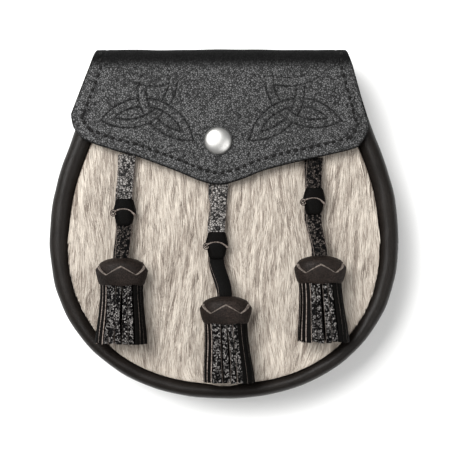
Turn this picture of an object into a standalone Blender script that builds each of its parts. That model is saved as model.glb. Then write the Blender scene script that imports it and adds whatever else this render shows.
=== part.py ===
"""Sporran pouch: a leather day pouch with a hide front, a folded flap and three tassels.

It lies on its back. +X is to its right, +Y towards the top fold, +Z out of the front, in metres.
The origin is at the middle of its outline, at the level that it rests on.
"""

import math

import bmesh
import bpy

# Overall sizes of the body, with its rim
WIDTH = 0.190
HEIGHT = 0.1896
BOWL_DEPTH = 0.0864
BOWL_SQUARENESS = 2.17
SHOULDER_RADIUS = 0.125
SIDE_LEAN_DEG = 21.0
GAP = 0.0003

# Back, gusset and mouth
BACK_WALL = 0.0025
BACK_INSET = 0.0025
BACK_TOP_MARGIN = 0.0090
GUSSET_WALL = 0.0025
GUSSET_INSET = 0.0055
GUSSET_TUCK = 0.0030
GUSSET_TOP_MARGIN = 0.0110

# Rim roll, from the seam with the gusset up
RIM_SEAT = 0.0255
RIM_HEIGHT = 0.0110
RIM_SIDE_WIDTH = 0.0105
RIM_FOOT_WIDTH = 0.0080
RIM_TOP_MARGIN = 0.0075

# Hide front, with its pile
FUR_THICKNESS = 0.0040
FUR_EDGE_DROP = 0.0020
FUR_CROWN = 0.0030
FUR_TOP_MARGIN = 0.0130

# Flap
FLAP_WALL = 0.0026
FLAP_DROP = 0.0732
FLAP_BEND_RADIUS = 0.0090
FLAP_TAIL_LENGTH = 0.0100

# Press stud
SNAP_X = -0.0033
SNAP_Y = 0.0450
SNAP_CAP_RADIUS = 0.0075
SNAP_CAP_HEIGHT = 0.0034
SNAP_SHANK_RADIUS = 0.0018
SNAP_SOCKET_RADIUS = 0.0050
SNAP_SOCKET_HEIGHT = 0.0024
SNAP_BORE_RADIUS = 0.0031
SNAP_BASE_HEIGHT = 0.0010
SNAP_NUB_HEIGHT = 0.0023
SNAP_CEILING = 0.0008

# Belt loops
LOOP_WALL = 0.0025
LOOP_TUNNEL = 0.0055
LOOP_WIDTH = 0.0220
LOOP_SPAN = 0.0280
LOOP_FOOT = 0.0080
LOOP_RAMP = 0.0030
LOOP_X = 0.0330
LOOP_Y = 0.0460

# Tassels
STRAP_WIDTH = 0.0096
STRAP_THICKNESS = 0.0036
STRAP_NOTCH = 0.0007
KNOT_HEIGHT = 0.0145
KNOT_WIDTH = 0.0132
KNOT_DEPTH = 0.0086
KNOT_LEAST_WALL = 0.0008
COLLAR_HEIGHT = 0.0148
COLLAR_WIDTH = 0.0280
COLLAR_DEPTH = 0.0182
COLLAR_RELIEF = 0.0007
COLLAR_BIGHTS = 6
HEAD_WIDTH = 0.0216
HEAD_DEPTH = 0.0134
FRINGE_LENGTH = 0.0316
FRINGE_WIDTH = 0.0278
FRINGE_DEPTH = 0.0172
STRIP_COUNT = 20
STRIP_GAP = 0.0003
STRIP_RAGGEDNESS = 0.03

# The flap's lower edge from left to right: share of half the body's width, share of the flap's drop
FLAP_EDGE = (
    {"across": -0.869, "drop": 0.480},
    {"across": -0.855, "drop": 0.574},
    {"across": -0.813, "drop": 0.646},
    {"across": -0.768, "drop": 0.686},
    {"across": -0.602, "drop": 0.758},
    {"across": -0.492, "drop": 0.796},
    {"across": -0.276, "drop": 0.900},
    {"across": -0.122, "drop": 0.981},
    {"across": -0.012, "drop": 1.000},
    {"across": 0.091, "drop": 0.967},
    {"across": 0.239, "drop": 0.893},
    {"across": 0.466, "drop": 0.820},
    {"across": 0.711, "drop": 0.746},
    {"across": 0.779, "drop": 0.694},
    {"across": 0.822, "drop": 0.568},
    {"across": 0.803, "drop": 0.477},
)
FLAP_TOP_LEFT = -0.777
FLAP_TOP_RIGHT = 0.729
FLAP_FOLD_NARROWING = 0.94
FLAP_SEAT_SHARE = 0.893
FLAP_FLATNESS = 4

# Each tassel: places across as shares of half the width, places up as shares of half the height
TASSELS = (
    {"name": "left", "strap": -0.547, "knot": -0.565, "collar": -0.578, "hem": -0.581,
     "strap_top": 0.400, "knot_top": 0.146, "collar_top": -0.191},
    {"name": "centre", "strap": -0.020, "knot": -0.040, "collar": 0.010, "hem": 0.030,
     "strap_top": 0.235, "knot_top": -0.042, "collar_top": -0.407},
    {"name": "right", "strap": 0.515, "knot": 0.510, "collar": 0.543, "hem": 0.563,
     "strap_top": 0.380, "knot_top": 0.208, "collar_top": -0.179},
)

# The collar and the head in it, from the top down: share of the height, of the collar, of the head
COLLAR_PROFILE = (
    {"down": 0.00, "outer": 0.32, "head": 0.40},
    {"down": 0.08, "outer": 0.62, "head": 0.42},
    {"down": 0.28, "outer": 0.90, "head": 0.72},
    {"down": 0.52, "outer": 1.00, "head": 0.92},
    {"down": 0.78, "outer": 0.98, "head": 1.00},
    {"down": 1.00, "outer": 0.93, "head": 1.00},
)

# The knot from the top down: share of its height, of its width and of its depth
KNOT_PROFILE = (
    {"down": 0.00, "wide": 0.72, "deep": 0.92},
    {"down": 0.30, "wide": 1.00, "deep": 1.00},
    {"down": 0.60, "wide": 0.98, "deep": 0.99},
    {"down": 0.85, "wide": 0.80, "deep": 0.94},
    {"down": 1.00, "wide": 0.70, "deep": 0.91},
)

HALF_WIDTH = WIDTH / 2
HALF_HEIGHT = HEIGHT / 2
WIDEST_Y = BOWL_DEPTH - HALF_HEIGHT
FOOT_Y = BACK_INSET - HALF_HEIGHT
BACK_SLOPE = (LOOP_WALL + LOOP_TUNNEL) / (LOOP_Y - FOOT_Y)
RIM_TOP = RIM_SEAT + RIM_HEIGHT
FUR_EDGE = RIM_TOP - FUR_EDGE_DROP
FLAP_SEAT = RIM_TOP + GAP
FLAP_CROWN = FUR_EDGE + FUR_CROWN + STRAP_THICKNESS + 2 * GAP - FLAP_SEAT

BOWL_STEPS = 13
SHOULDER_STEPS = 3
SIDE_STEPS = 3
ROUND_SIDES = 20
RIM_SIDES = 12
KNOT_SIDES = 16
DOME_STEPS = 6
CURVE_STEPS = 8
FUR_TOP_STEPS = 8
FLAP_COLUMNS = 26
FLAP_ROWS = 8
BEND_STEPS = 4
STRAP_STEPS = 5

# Shares: of the gusset's depth, of the hide's outline, of a strip's length
GUSSET_SHARES = (0.0, 0.25, 0.5, 0.75, 1.0)
FUR_RINGS = (1.0, 0.8, 0.55, 0.25)
STRIP_SHARES = (0.45, 1.0)
CORE_SHARE = 0.32

# How square an oval is: 1 is an ellipse
ROUND_POWER = 0.8
SQUARE_POWER = 0.25


def clear_scene():
    for old in list(bpy.data.objects):
        bpy.data.objects.remove(old, do_unlink=True)


def make_material(name, colour, roughness, metallic=0.0):
    material = bpy.data.materials.new(name)
    material.use_nodes = True
    shader = material.node_tree.nodes["Principled BSDF"]
    shader.inputs["Base Color"].default_value = (*colour, 1.0)
    shader.inputs["Roughness"].default_value = roughness
    shader.inputs["Metallic"].default_value = metallic
    return material


def make_object(name, bm, material):
    bmesh.ops.recalc_face_normals(bm, faces=bm.faces)
    mesh = bpy.data.meshes.new(name)
    bm.to_mesh(mesh)
    bm.free()
    mesh.materials.append(material)
    mesh.shade_smooth()
    mesh.set_sharp_from_angle(angle=math.radians(40))
    made = bpy.data.objects.new(name, mesh)
    bpy.context.scene.collection.objects.link(made)
    return made


def loft(name, rings, material, joined=False):
    """A skin over rings of as many points each, capped at its ends or joined end to end."""
    bm = bmesh.new()
    rows = [[bm.verts.new(point) for point in ring] for ring in rings]
    pairs = list(zip(rows, rows[1:]))
    if joined:
        pairs.append((rows[-1], rows[0]))
    for first, second in pairs:
        for i in range(len(first)):
            j = (i + 1) % len(first)
            bm.faces.new((first[i], first[j], second[j], second[i]))
    if not joined:
        bm.faces.new(rows[0])
        bm.faces.new(rows[-1])
    return make_object(name, bm, material)


def thicken(made, wall, side):
    """Gives a sheet its wall, above it with side 1 and under it with side -1."""
    solid = made.modifiers.new("leather", "SOLIDIFY")
    solid.thickness = wall
    solid.offset = side if made.data.polygons[0].normal.z > 0 else -side
    solid.use_even_offset = True


def ease(share):
    return share * share * (3 - 2 * share)


def between(stops, at):
    """Smooth value at one place among (place, value) stops, whose places fall."""
    if at >= stops[0][0]:
        return stops[0][1]
    for (high, first), (low, second) in zip(stops, stops[1:]):
        if at >= low:
            return first + (second - first) * ease((high - at) / (high - low))
    return stops[-1][1]


def back_outer(y):
    return (y - FOOT_Y) * BACK_SLOPE


def back_inner(y):
    return back_outer(y) + BACK_WALL * math.hypot(1, BACK_SLOPE)


def fur_top(x, y):
    """Height of the hide's outer surface: a shallow crown."""
    return FUR_EDGE + FUR_CROWN * max(0.0, 1 - (x / HALF_WIDTH) ** 2 - ((y - WIDEST_Y) / HALF_HEIGHT) ** 2)


def fur_peak(x, half, high, low):
    """The hide's greatest height under something this wide that spans two levels."""
    return fur_top(max(0.0, abs(x) - half), min(max(WIDEST_Y, low), high))


def flap_under(x):
    """Height of the flap's inner face: on the rim at the sides, over the straps between."""
    across = min(1.0, abs(x) / (FLAP_SEAT_SHARE * HALF_WIDTH))
    return FLAP_SEAT + FLAP_CROWN * (1 - across ** FLAP_FLATNESS)


def right_half():
    """The body's right outline from the foot up to the fold: bowl, shoulder arc, leaning side."""
    points = []
    power = 2 / BOWL_SQUARENESS
    for i in range(BOWL_STEPS + 1):
        turn = math.radians(90) * i / BOWL_STEPS
        x = HALF_WIDTH * math.sin(turn) ** power
        points.append((x, WIDEST_Y - BOWL_DEPTH * max(0.0, math.cos(turn)) ** power))
    lean = math.radians(SIDE_LEAN_DEG)
    for i in range(1, SHOULDER_STEPS + 1):
        turn = lean * i / SHOULDER_STEPS
        x = HALF_WIDTH - SHOULDER_RADIUS * (1 - math.cos(turn))
        points.append((x, WIDEST_Y + SHOULDER_RADIUS * math.sin(turn)))
    x, y = points[-1]
    for i in range(1, SIDE_STEPS + 1):
        rise = (HALF_HEIGHT - y) * i / SIDE_STEPS
        points.append((x - rise * math.tan(lean), y + rise))
    return points


def stations(top_margin):
    """(x, y, inward x, inward y) from the left top round the foot to the right top, under the margin."""
    half = right_half()
    line = [(-x, y) for x, y in reversed(half)] + half[1:]
    found = []
    for i, (x, y) in enumerate(line):
        before = line[max(i - 1, 0)]
        after = line[min(i + 1, len(line) - 1)]
        along = (after[0] - before[0], after[1] - before[1])
        size = math.hypot(*along)
        found.append((x, y, -along[1] / size, along[0] / size))
    return trim(found, HALF_HEIGHT - top_margin)


def trim(line, limit):
    """The stations under a level, with the two end ones cut to lie on it."""
    kept = [station for station in line if station[1] < limit]
    ends = []
    for first, second in ((line[0], kept[0]), (line[-1], kept[-1])):
        above = next(s for s in (line if first is line[0] else line[::-1]) if s[1] >= limit)
        share = (limit - second[1]) / (above[1] - second[1])
        place = [second[k] + (above[k] - second[k]) * share for k in (0, 1)]
        ends.append((*place, second[2], second[3]))
    return [ends[0], *kept, ends[1]]


def inset(station, distance):
    x, y, inward_x, inward_y = station
    return x + inward_x * distance, y + inward_y * distance


def rim_width(station):
    """The roll is narrower at the foot than at the sides."""
    downness = max(0.0, station[3])
    return RIM_SIDE_WIDTH + (RIM_FOOT_WIDTH - RIM_SIDE_WIDTH) * downness


def build_back_panel(material):
    bm = bmesh.new()
    rim = [inset(station, BACK_INSET) for station in stations(BACK_TOP_MARGIN)]
    bm.faces.new([bm.verts.new((x, y, back_outer(y))) for x, y in rim])
    made = make_object("back_panel", bm, material)
    thicken(made, BACK_WALL, 1)


def build_gusset(material):
    rings = []
    for station in stations(GUSSET_TOP_MARGIN):
        ring = []
        for side, order in ((-1, GUSSET_SHARES), (1, GUSSET_SHARES[::-1])):
            for share in order:
                tuck = GUSSET_TUCK * math.sin(math.pi * share) ** 2
                x, y = inset(station, GUSSET_INSET + tuck + side * GUSSET_WALL / 2)
                low = back_inner(y) + GAP
                ring.append((x, y, low + (RIM_SEAT - GAP - low) * share))
        rings.append(ring)
    loft("gusset", rings, material)


def build_rim_roll(material):
    rings = []
    for station in stations(RIM_TOP_MARGIN):
        wide = rim_width(station)
        ring = []
        for i in range(RIM_SIDES):
            turn = 2 * math.pi * i / RIM_SIDES
            x, y = inset(station, wide / 2 * (1 + math.cos(turn)))
            ring.append((x, y, RIM_SEAT + RIM_HEIGHT / 2 * (1 + math.sin(turn))))
        rings.append(ring)
    loft("rim_roll", rings, material)


def build_fur_panel(material):
    edge = [inset(station, rim_width(station) + GAP) for station in stations(FUR_TOP_MARGIN)]
    left, right = edge[0], edge[-1]
    for i in range(1, FUR_TOP_STEPS):
        share = i / FUR_TOP_STEPS
        edge.append((right[0] + (left[0] - right[0]) * share, right[1] + (left[1] - right[1]) * share))
    bm = bmesh.new()
    rows = []
    for scale in FUR_RINGS:
        places = [(x * scale, WIDEST_Y + (y - WIDEST_Y) * scale) for x, y in edge]
        rows.append([bm.verts.new((x, y, fur_top(x, y))) for x, y in places])
    for outer, inner in zip(rows, rows[1:]):
        for i in range(len(outer)):
            j = (i + 1) % len(outer)
            bm.faces.new((outer[i], outer[j], inner[j], inner[i]))
    middle = bm.verts.new((0, WIDEST_Y, fur_top(0, WIDEST_Y)))
    for i in range(len(edge)):
        bm.faces.new((rows[-1][i], rows[-1][(i + 1) % len(edge)], middle))
    made = make_object("fur_panel", bm, material)
    thicken(made, FUR_THICKNESS, -1)


def smooth_line(points, steps):
    """Evenly spaced points on a smooth curve through the given ones."""
    line = []
    for i in range(len(points) - 1):
        a, b, c, d = (points[min(max(i + k, 0), len(points) - 1)] for k in (-1, 0, 1, 2))
        for j in range(CURVE_STEPS):
            t = j / CURVE_STEPS
            line.append(tuple(
                0.5 * (2 * b[k] + (c[k] - a[k]) * t + (2 * a[k] - 5 * b[k] + 4 * c[k] - d[k]) * t * t
                       + (3 * b[k] - a[k] - 3 * c[k] + d[k]) * t ** 3)
                for k in (0, 1)))
    line.append(points[-1])
    run = [0.0]
    for first, second in zip(line, line[1:]):
        run.append(run[-1] + math.dist(first, second))
    found = []
    for i in range(steps + 1):
        goal = run[-1] * i / steps
        k = max(j for j in range(len(run)) if run[j] <= goal + 1e-12)
        if k == len(run) - 1:
            found.append(line[-1])
            continue
        share = (goal - run[k]) / (run[k + 1] - run[k])
        found.append(tuple(line[k][m] + (line[k + 1][m] - line[k][m]) * share for m in (0, 1)))
    return found


def flap_column(top_x, bottom):
    """One strip of the flap's inner face, from the lower edge up, over the fold and down the back."""
    bend = FLAP_BEND_RADIUS - FLAP_WALL
    fold_y = HALF_HEIGHT - FLAP_BEND_RADIUS
    inner_y = HALF_HEIGHT - FLAP_WALL
    points = []
    for i in range(FLAP_ROWS + 1):
        share = i / FLAP_ROWS
        x = bottom[0] + (top_x - bottom[0]) * share
        y = bottom[1] + (fold_y - bottom[1]) * share
        points.append((x, y, flap_under(x)))
    high = flap_under(top_x)
    back_z = back_outer(fold_y) - GAP
    tail_y = fold_y - FLAP_TAIL_LENGTH
    turns = [math.radians(90) * k / BEND_STEPS for k in range(BEND_STEPS + 1)]
    rows = [(fold_y + bend * math.sin(turn), high - bend * (1 - math.cos(turn))) for turn in turns[1:]]
    rows.append((inner_y, (high + back_z) / 2))
    rows += [(fold_y + bend * math.cos(turn), back_z + bend * (1 - math.sin(turn))) for turn in turns]
    rows.append((tail_y, back_outer(tail_y) - GAP))
    for k, (y, z) in enumerate(rows):
        narrow = 1 + (FLAP_FOLD_NARROWING - 1) * min(1.0, (k + 1) / BEND_STEPS)
        points.append((top_x * narrow, y, z))
    return points


def build_flap(material):
    points = [(row["across"] * HALF_WIDTH, HALF_HEIGHT - row["drop"] * FLAP_DROP) for row in FLAP_EDGE]
    edge = smooth_line(points, FLAP_COLUMNS)
    left, right = FLAP_TOP_LEFT * HALF_WIDTH, FLAP_TOP_RIGHT * HALF_WIDTH
    columns = []
    for i, bottom in enumerate(edge):
        across = (bottom[0] - edge[0][0]) / (edge[-1][0] - edge[0][0])
        share = (across + i / (len(edge) - 1)) / 2
        columns.append(flap_column(left + (right - left) * share, bottom))
    bm = bmesh.new()
    grid = [[bm.verts.new(point) for point in column] for column in columns]
    for first, second in zip(grid, grid[1:]):
        for i in range(len(first) - 1):
            bm.faces.new((first[i], second[i], second[i + 1], first[i + 1]))
    made = make_object("flap", bm, material)
    thicken(made, FLAP_WALL, 1)
    hole = build_turned("snap_hole", snap_hole_profile(), material)
    hole.hide_render = True
    hole.display_type = "WIRE"
    cut = made.modifiers.new("snap hole", "BOOLEAN")
    cut.operation = "DIFFERENCE"
    cut.object = hole


def build_turned(name, profile, material):
    """A solid turned about the press stud's axis, from (radius, height) rows."""
    rings = []
    for radius, height in profile:
        turns = [2 * math.pi * i / ROUND_SIDES for i in range(ROUND_SIDES)]
        rings.append([(SNAP_X + radius * math.cos(t), SNAP_Y + radius * math.sin(t), height) for t in turns])
    return loft(name, rings, material)


def snap_hole_profile():
    low = flap_under(SNAP_X) - FLAP_WALL
    radius = SNAP_SHANK_RADIUS + GAP
    return [(radius, low), (radius, low + 3 * FLAP_WALL)]


def build_snap_cap(material):
    under = flap_under(SNAP_X)
    seat = under + FLAP_WALL + GAP
    socket = under - GAP
    low = socket - SNAP_SOCKET_HEIGHT
    profile = [(SNAP_BORE_RADIUS, socket - SNAP_CEILING), (SNAP_BORE_RADIUS, low),
               (SNAP_SOCKET_RADIUS, low), (SNAP_SOCKET_RADIUS, socket),
               (SNAP_SHANK_RADIUS, socket), (SNAP_SHANK_RADIUS, seat), (SNAP_CAP_RADIUS, seat)]
    for k in range(1, DOME_STEPS):
        turn = math.radians(90) * k / DOME_STEPS
        profile.append((SNAP_CAP_RADIUS * math.cos(turn), seat + SNAP_CAP_HEIGHT * math.sin(turn)))
    build_turned("snap_cap", profile, material)


def build_snap_stud(material):
    low = fur_top(SNAP_X, SNAP_Y) + GAP
    base = low + SNAP_BASE_HEIGHT
    nub = SNAP_BORE_RADIUS - 2 * GAP
    profile = [(SNAP_SOCKET_RADIUS, low), (SNAP_SOCKET_RADIUS, base)]
    profile += [(nub, base), (nub, base + SNAP_NUB_HEIGHT)]
    build_turned("snap_stud", profile, material)


def build_belt_loop(name, middle_x, material):
    half = LOOP_SPAN / 2
    upper = [(LOOP_Y - half - LOOP_RAMP - LOOP_FOOT, 0), (LOOP_Y - half - LOOP_RAMP, 0), (LOOP_Y - half, 1),
             (LOOP_Y + half, 1), (LOOP_Y + half + LOOP_RAMP, 0), (LOOP_Y + half + LOOP_RAMP + LOOP_FOOT, 0)]
    profile = [(y, LOOP_WALL if clear else back_outer(y) - GAP) for y, clear in upper]
    profile += [(y, 0.0 if clear else back_outer(y) - GAP - LOOP_WALL) for y, clear in reversed(upper)]
    rings = [[(middle_x + side * LOOP_WIDTH / 2, y, z) for y, z in profile] for side in (-1, 1)]
    loft(name, rings, material)


def tassel_place(tassel):
    """Where a tassel's parts are: heights up the pouch, and its centre line as (height, x, z) stops."""
    knot_top = tassel["knot_top"] * HALF_HEIGHT
    knot_low = knot_top - KNOT_HEIGHT
    collar_top = tassel["collar_top"] * HALF_HEIGHT
    collar_low = collar_top - COLLAR_HEIGHT
    strap_top = tassel["strap_top"] * HALF_HEIGHT
    xs = {key: tassel[key] * HALF_WIDTH for key in ("strap", "knot", "collar", "hem")}
    lie = fur_top(xs["strap"], strap_top) + GAP + STRAP_THICKNESS / 2
    knot_z = fur_peak(xs["knot"], KNOT_WIDTH / 2, knot_top, knot_low) + GAP + KNOT_DEPTH / 2
    collar_z = fur_peak(xs["collar"], COLLAR_WIDTH / 2, collar_top, collar_low) + GAP + COLLAR_DEPTH / 2
    across = [(strap_top, xs["strap"]), (knot_top, xs["knot"])]
    across += [(knot_low, xs["knot"]), (collar_top, xs["collar"])]
    depth = [(knot_top + KNOT_HEIGHT, lie), (knot_top, knot_z), (knot_low, knot_z), (collar_top, collar_z)]
    return {"strap_top": strap_top, "knot_top": knot_top, "knot_low": knot_low, "collar_top": collar_top,
            "across": across, "depth": depth, "collar_z": collar_z, **xs}


def centre_line(place, y):
    """The strap's middle at a level: on the hide, or lifted to the middle of its knot and collar."""
    x = between(place["across"], y)
    lying = fur_peak(x, STRAP_WIDTH / 2, y, y) + GAP + STRAP_THICKNESS / 2
    return x, max(lying, between(place["depth"], y))


def strap_section(place, y, wide):
    x, z = centre_line(place, y)
    half, thick, notch = wide / 2, STRAP_THICKNESS / 2, STRAP_NOTCH
    right = ((half, -thick), (half - notch, 0), (half, thick))
    outline = right + tuple((-across, -up) for across, up in right)
    return [(x + across, y, z + up) for across, up in outline]


def strap_width(place, y):
    """Full width above the knot, narrower in and under it, and narrowest at the collar."""
    stops = [(place["knot_top"] + KNOT_HEIGHT / 2, 1.0), (place["knot_top"], 0.86),
             (place["knot_low"], 0.82), (place["collar_top"], 0.62)]
    return STRAP_WIDTH * between(stops, y)


def knot_levels(place):
    return [place["knot_top"] - KNOT_HEIGHT * row["down"] for row in KNOT_PROFILE]


def build_hanger(name, place, material):
    low_end = place["collar_top"] - COLLAR_HEIGHT * COLLAR_PROFILE[1]["down"]
    run = place["knot_top"] - place["strap_top"]
    levels = [place["strap_top"] + run * i / STRAP_STEPS for i in range(STRAP_STEPS)]
    levels += knot_levels(place)
    run = place["collar_top"] - place["knot_low"]
    levels += [place["knot_low"] + run * i / STRAP_STEPS for i in range(1, STRAP_STEPS + 1)]
    levels.append(low_end + GAP)
    rings = [strap_section(place, y, strap_width(place, y)) for y in levels]
    loft(name, rings, material)


def oval(centre_x, y, centre_z, half_x, half_z, sides, power=1.0):
    """A ring about a line along Y, squarer as the power falls."""
    ring = []
    for i in range(sides):
        turn = 2 * math.pi * i / sides
        c, s = math.cos(turn), math.sin(turn)
        ring.append((centre_x + half_x * math.copysign(abs(c) ** power, c), y,
                     centre_z + half_z * math.copysign(abs(s) ** power, s)))
    return ring


def build_knot(name, place, material):
    outer, inner = [], []
    for y, row in zip(knot_levels(place), KNOT_PROFILE):
        x, z = centre_line(place, y)
        half = strap_width(place, y) / 2 + 2 * GAP
        thick = STRAP_THICKNESS / 2 + GAP
        wide = max(KNOT_WIDTH / 2 * row["wide"], half + KNOT_LEAST_WALL)
        outer.append(oval(x, y, z, wide, KNOT_DEPTH / 2 * row["deep"], KNOT_SIDES, ROUND_POWER))
        inner.append(oval(x, y, z, half, thick, KNOT_SIDES, SQUARE_POWER))
    loft(name, outer + inner[::-1], material, joined=True)


def braid(turn, share):
    """Relief of the plaited collar: two crossing sets of leather bands."""
    wave = COLLAR_BIGHTS * turn / 2
    rising = abs(math.cos(wave + math.pi * share))
    falling = abs(math.cos(wave - math.pi * share))
    return max(rising, falling) ** 2 - 0.5


def build_collar(name, place, material):
    sides = 6 * COLLAR_BIGHTS
    outer, inner = [], []
    for row in COLLAR_PROFILE:
        y = place["collar_top"] - COLLAR_HEIGHT * row["down"]
        ring = []
        relief_share = math.sin(math.pi * min(1.0, row["down"] + 0.1))
        for i in range(sides):
            turn = 2 * math.pi * i / sides
            raised = COLLAR_RELIEF * braid(turn, row["down"]) * relief_share
            ring.append((place["collar"] + (COLLAR_WIDTH / 2 * row["outer"] + raised) * math.cos(turn), y,
                         place["collar_z"] + (COLLAR_DEPTH / 2 * row["outer"] + raised) * math.sin(turn)))
        outer.append(ring)
    for row in COLLAR_PROFILE:
        y = place["collar_top"] - COLLAR_HEIGHT * row["down"]
        inner.append(oval(place["collar"], y, place["collar_z"], HEAD_WIDTH / 2 * row["head"] + GAP,
                          HEAD_DEPTH / 2 * row["head"] + GAP, sides))
    loft(name, outer + inner[::-1], material, joined=True)


def build_fringe(name, place, material):
    """A solid head in the collar, with a strip drawn down from each cell round its lower edge."""
    bm = bmesh.new()
    rows = []
    profile = [row for row in COLLAR_PROFILE if row["down"] > COLLAR_PROFILE[0]["down"]]
    for row in profile:
        y = place["collar_top"] - COLLAR_HEIGHT * row["down"] - (GAP if row is profile[0] else 0)
        half_x, half_z = HEAD_WIDTH / 2 * row["head"], HEAD_DEPTH / 2 * row["head"]
        ring = oval(place["collar"], y, place["collar_z"], half_x, half_z, STRIP_COUNT)
        rows.append([bm.verts.new(point) for point in ring])
    hem = rows[-1]
    foot_y = hem[0].co.y
    half_x, half_z = HEAD_WIDTH * CORE_SHARE, HEAD_DEPTH * CORE_SHARE
    core = oval(place["collar"], foot_y, place["collar_z"], half_x, half_z, STRIP_COUNT)
    core = [bm.verts.new(point) for point in core]
    for first, second in zip(rows, rows[1:]):
        for i in range(STRIP_COUNT):
            j = (i + 1) % STRIP_COUNT
            bm.faces.new((first[i], first[j], second[j], second[i]))
    bm.faces.new(rows[0])
    cells = []
    for i in range(STRIP_COUNT):
        j = (i + 1) % STRIP_COUNT
        cells.append(bm.faces.new((hem[i], hem[j], core[j], core[i])))
    middle = bm.faces.new(core)
    bmesh.ops.recalc_face_normals(bm, faces=bm.faces)
    bmesh.ops.inset_individual(bm, faces=cells, thickness=STRIP_GAP / 2, use_even_offset=True)
    draw_strips(bm, cells + [middle], place, foot_y)
    make_object(name, bm, material)


def draw_strips(bm, faces, place, foot_y):
    """Draws each face down in two lengths, flaring out from the head to the fringe's own width."""
    spread_x = FRINGE_WIDTH / HEAD_WIDTH - 1
    spread_z = FRINGE_DEPTH / HEAD_DEPTH - 1
    for number, face in enumerate(faces):
        starts = list(face.verts)
        length = FRINGE_LENGTH * (1 - STRIP_RAGGEDNESS * (number % 3) / 2)
        bm.faces.remove(face)
        above = starts
        for share in STRIP_SHARES:
            middle = place["collar"] + (place["hem"] - place["collar"]) * share
            below = []
            for vert in starts:
                x = middle + (vert.co.x - place["collar"]) * (1 + spread_x * ease(share))
                z = place["collar_z"] + (vert.co.z - place["collar_z"]) * (1 + spread_z * ease(share))
                below.append(bm.verts.new((x, foot_y - length * share, z)))
            for i in range(len(starts)):
                j = (i + 1) % len(starts)
                bm.faces.new((above[i], above[j], below[j], below[i]))
            above = below
        bm.faces.new(above)


def build_tassel(tassel, leathers):
    place = tassel_place(tassel)
    build_hanger("hanger_" + tassel["name"], place, leathers["strap"])
    build_knot("knot_" + tassel["name"], place, leathers["knot"])
    build_collar("collar_" + tassel["name"], place, leathers["collar"])
    build_fringe("fringe_" + tassel["name"], place, leathers["fringe"])


def main():
    clear_scene()
    smooth_leather = make_material("smooth black leather", (0.022, 0.019, 0.017), 0.42)
    build_back_panel(make_material("back leather", (0.020, 0.018, 0.017), 0.6))
    build_gusset(make_material("gusset leather", (0.021, 0.018, 0.016), 0.5))
    build_rim_roll(smooth_leather)
    build_fur_panel(make_material("hair-on hide", (0.62, 0.58, 0.52), 0.9))
    build_flap(make_material("grained leather", (0.045, 0.045, 0.047), 0.5))
    build_snap_cap(make_material("satin nickel", (0.72, 0.72, 0.71), 0.3, 1.0))
    build_snap_stud(make_material("plain nickel", (0.62, 0.62, 0.61), 0.35, 1.0))
    loop_leather = make_material("loop leather", (0.022, 0.019, 0.018), 0.55)
    for name, side in (("left", -1), ("right", 1)):
        build_belt_loop("belt_loop_" + name, side * LOOP_X, loop_leather)
    leathers = {
        "strap": make_material("strap leather", (0.040, 0.037, 0.035), 0.45),
        "knot": make_material("thong leather", (0.024, 0.021, 0.020), 0.45),
        "collar": make_material("plaited leather", (0.030, 0.025, 0.022), 0.5),
        "fringe": make_material("fringe leather", (0.026, 0.024, 0.023), 0.4),
    }
    for tassel in TASSELS:
        build_tassel(tassel, leathers)


main()
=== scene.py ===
"""Sporran pouch: a day pouch with a hide front, a folded leather flap and three tassels.

It lies on its back, as in the frame: +X to its right, +Y towards the top fold, +Z out of the front.
"""

import math

import bpy
import numpy as np
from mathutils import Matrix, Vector, kdtree


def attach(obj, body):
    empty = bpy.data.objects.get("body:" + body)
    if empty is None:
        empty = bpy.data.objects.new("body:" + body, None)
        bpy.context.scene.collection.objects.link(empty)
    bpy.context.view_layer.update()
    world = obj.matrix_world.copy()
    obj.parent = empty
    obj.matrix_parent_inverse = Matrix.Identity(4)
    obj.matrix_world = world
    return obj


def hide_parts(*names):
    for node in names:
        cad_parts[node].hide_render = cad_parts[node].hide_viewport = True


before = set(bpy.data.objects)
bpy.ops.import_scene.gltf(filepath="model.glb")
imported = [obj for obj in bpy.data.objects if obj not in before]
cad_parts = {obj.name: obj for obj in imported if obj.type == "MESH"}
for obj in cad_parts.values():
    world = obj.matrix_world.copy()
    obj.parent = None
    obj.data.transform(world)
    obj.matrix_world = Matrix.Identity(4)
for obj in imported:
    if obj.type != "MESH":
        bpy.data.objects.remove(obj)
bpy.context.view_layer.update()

bl_info = {
    "name": "Sporran pouch",
    "version": (1, 0, 0),
    "blender": (4, 5, 0),
    "location": "3D View > Sidebar > Sporran",
    "description": "Makes the leather, hide, stitches and tassels of a day sporran over its solids",
    "category": "Add Mesh",
}

# The form of the body, in metres, as its solids have it except where a comment says otherwise
WIDTH = 0.190
HEIGHT = 0.1896
BOWL_DEPTH = 0.0864
BOWL_SQUARENESS = 2.17
SHOULDER_RADIUS = 0.125
SIDE_LEAN_DEG = 21.0
GAP = 0.0003

BACK_WALL = 0.0025
BACK_INSET = 0.0025
BACK_TOP_MARGIN = 0.0090
GUSSET_WALL = 0.0025
GUSSET_INSET = 0.0055
GUSSET_TUCK = 0.0030
GUSSET_TOP_MARGIN = 0.0110
RIM_SEAT = 0.0255
RIM_HEIGHT = 0.0110
RIM_SIDE_WIDTH = 0.0105
RIM_FOOT_WIDTH = 0.0080
RIM_TOP_MARGIN = 0.0075
FUR_THICKNESS = 0.0040
FUR_EDGE_DROP = 0.0020
FUR_CROWN = 0.0030
FUR_TOP_MARGIN = 0.0130

FLAP_WALL = 0.0026
FLAP_DROP = 0.0732
FLAP_BEND_RADIUS = 0.0090
FLAP_TAIL_LENGTH = 0.0100
# The flap's ends at the fold, in halves of the width; the solid's left end is 1.4 mm further out
FLAP_TOP_LEFT = -0.762
FLAP_TOP_RIGHT = 0.729
FLAP_FOLD_NARROWING = 0.94
FLAP_SEAT_SHARE = 0.893
FLAP_FLATNESS = 4

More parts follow.
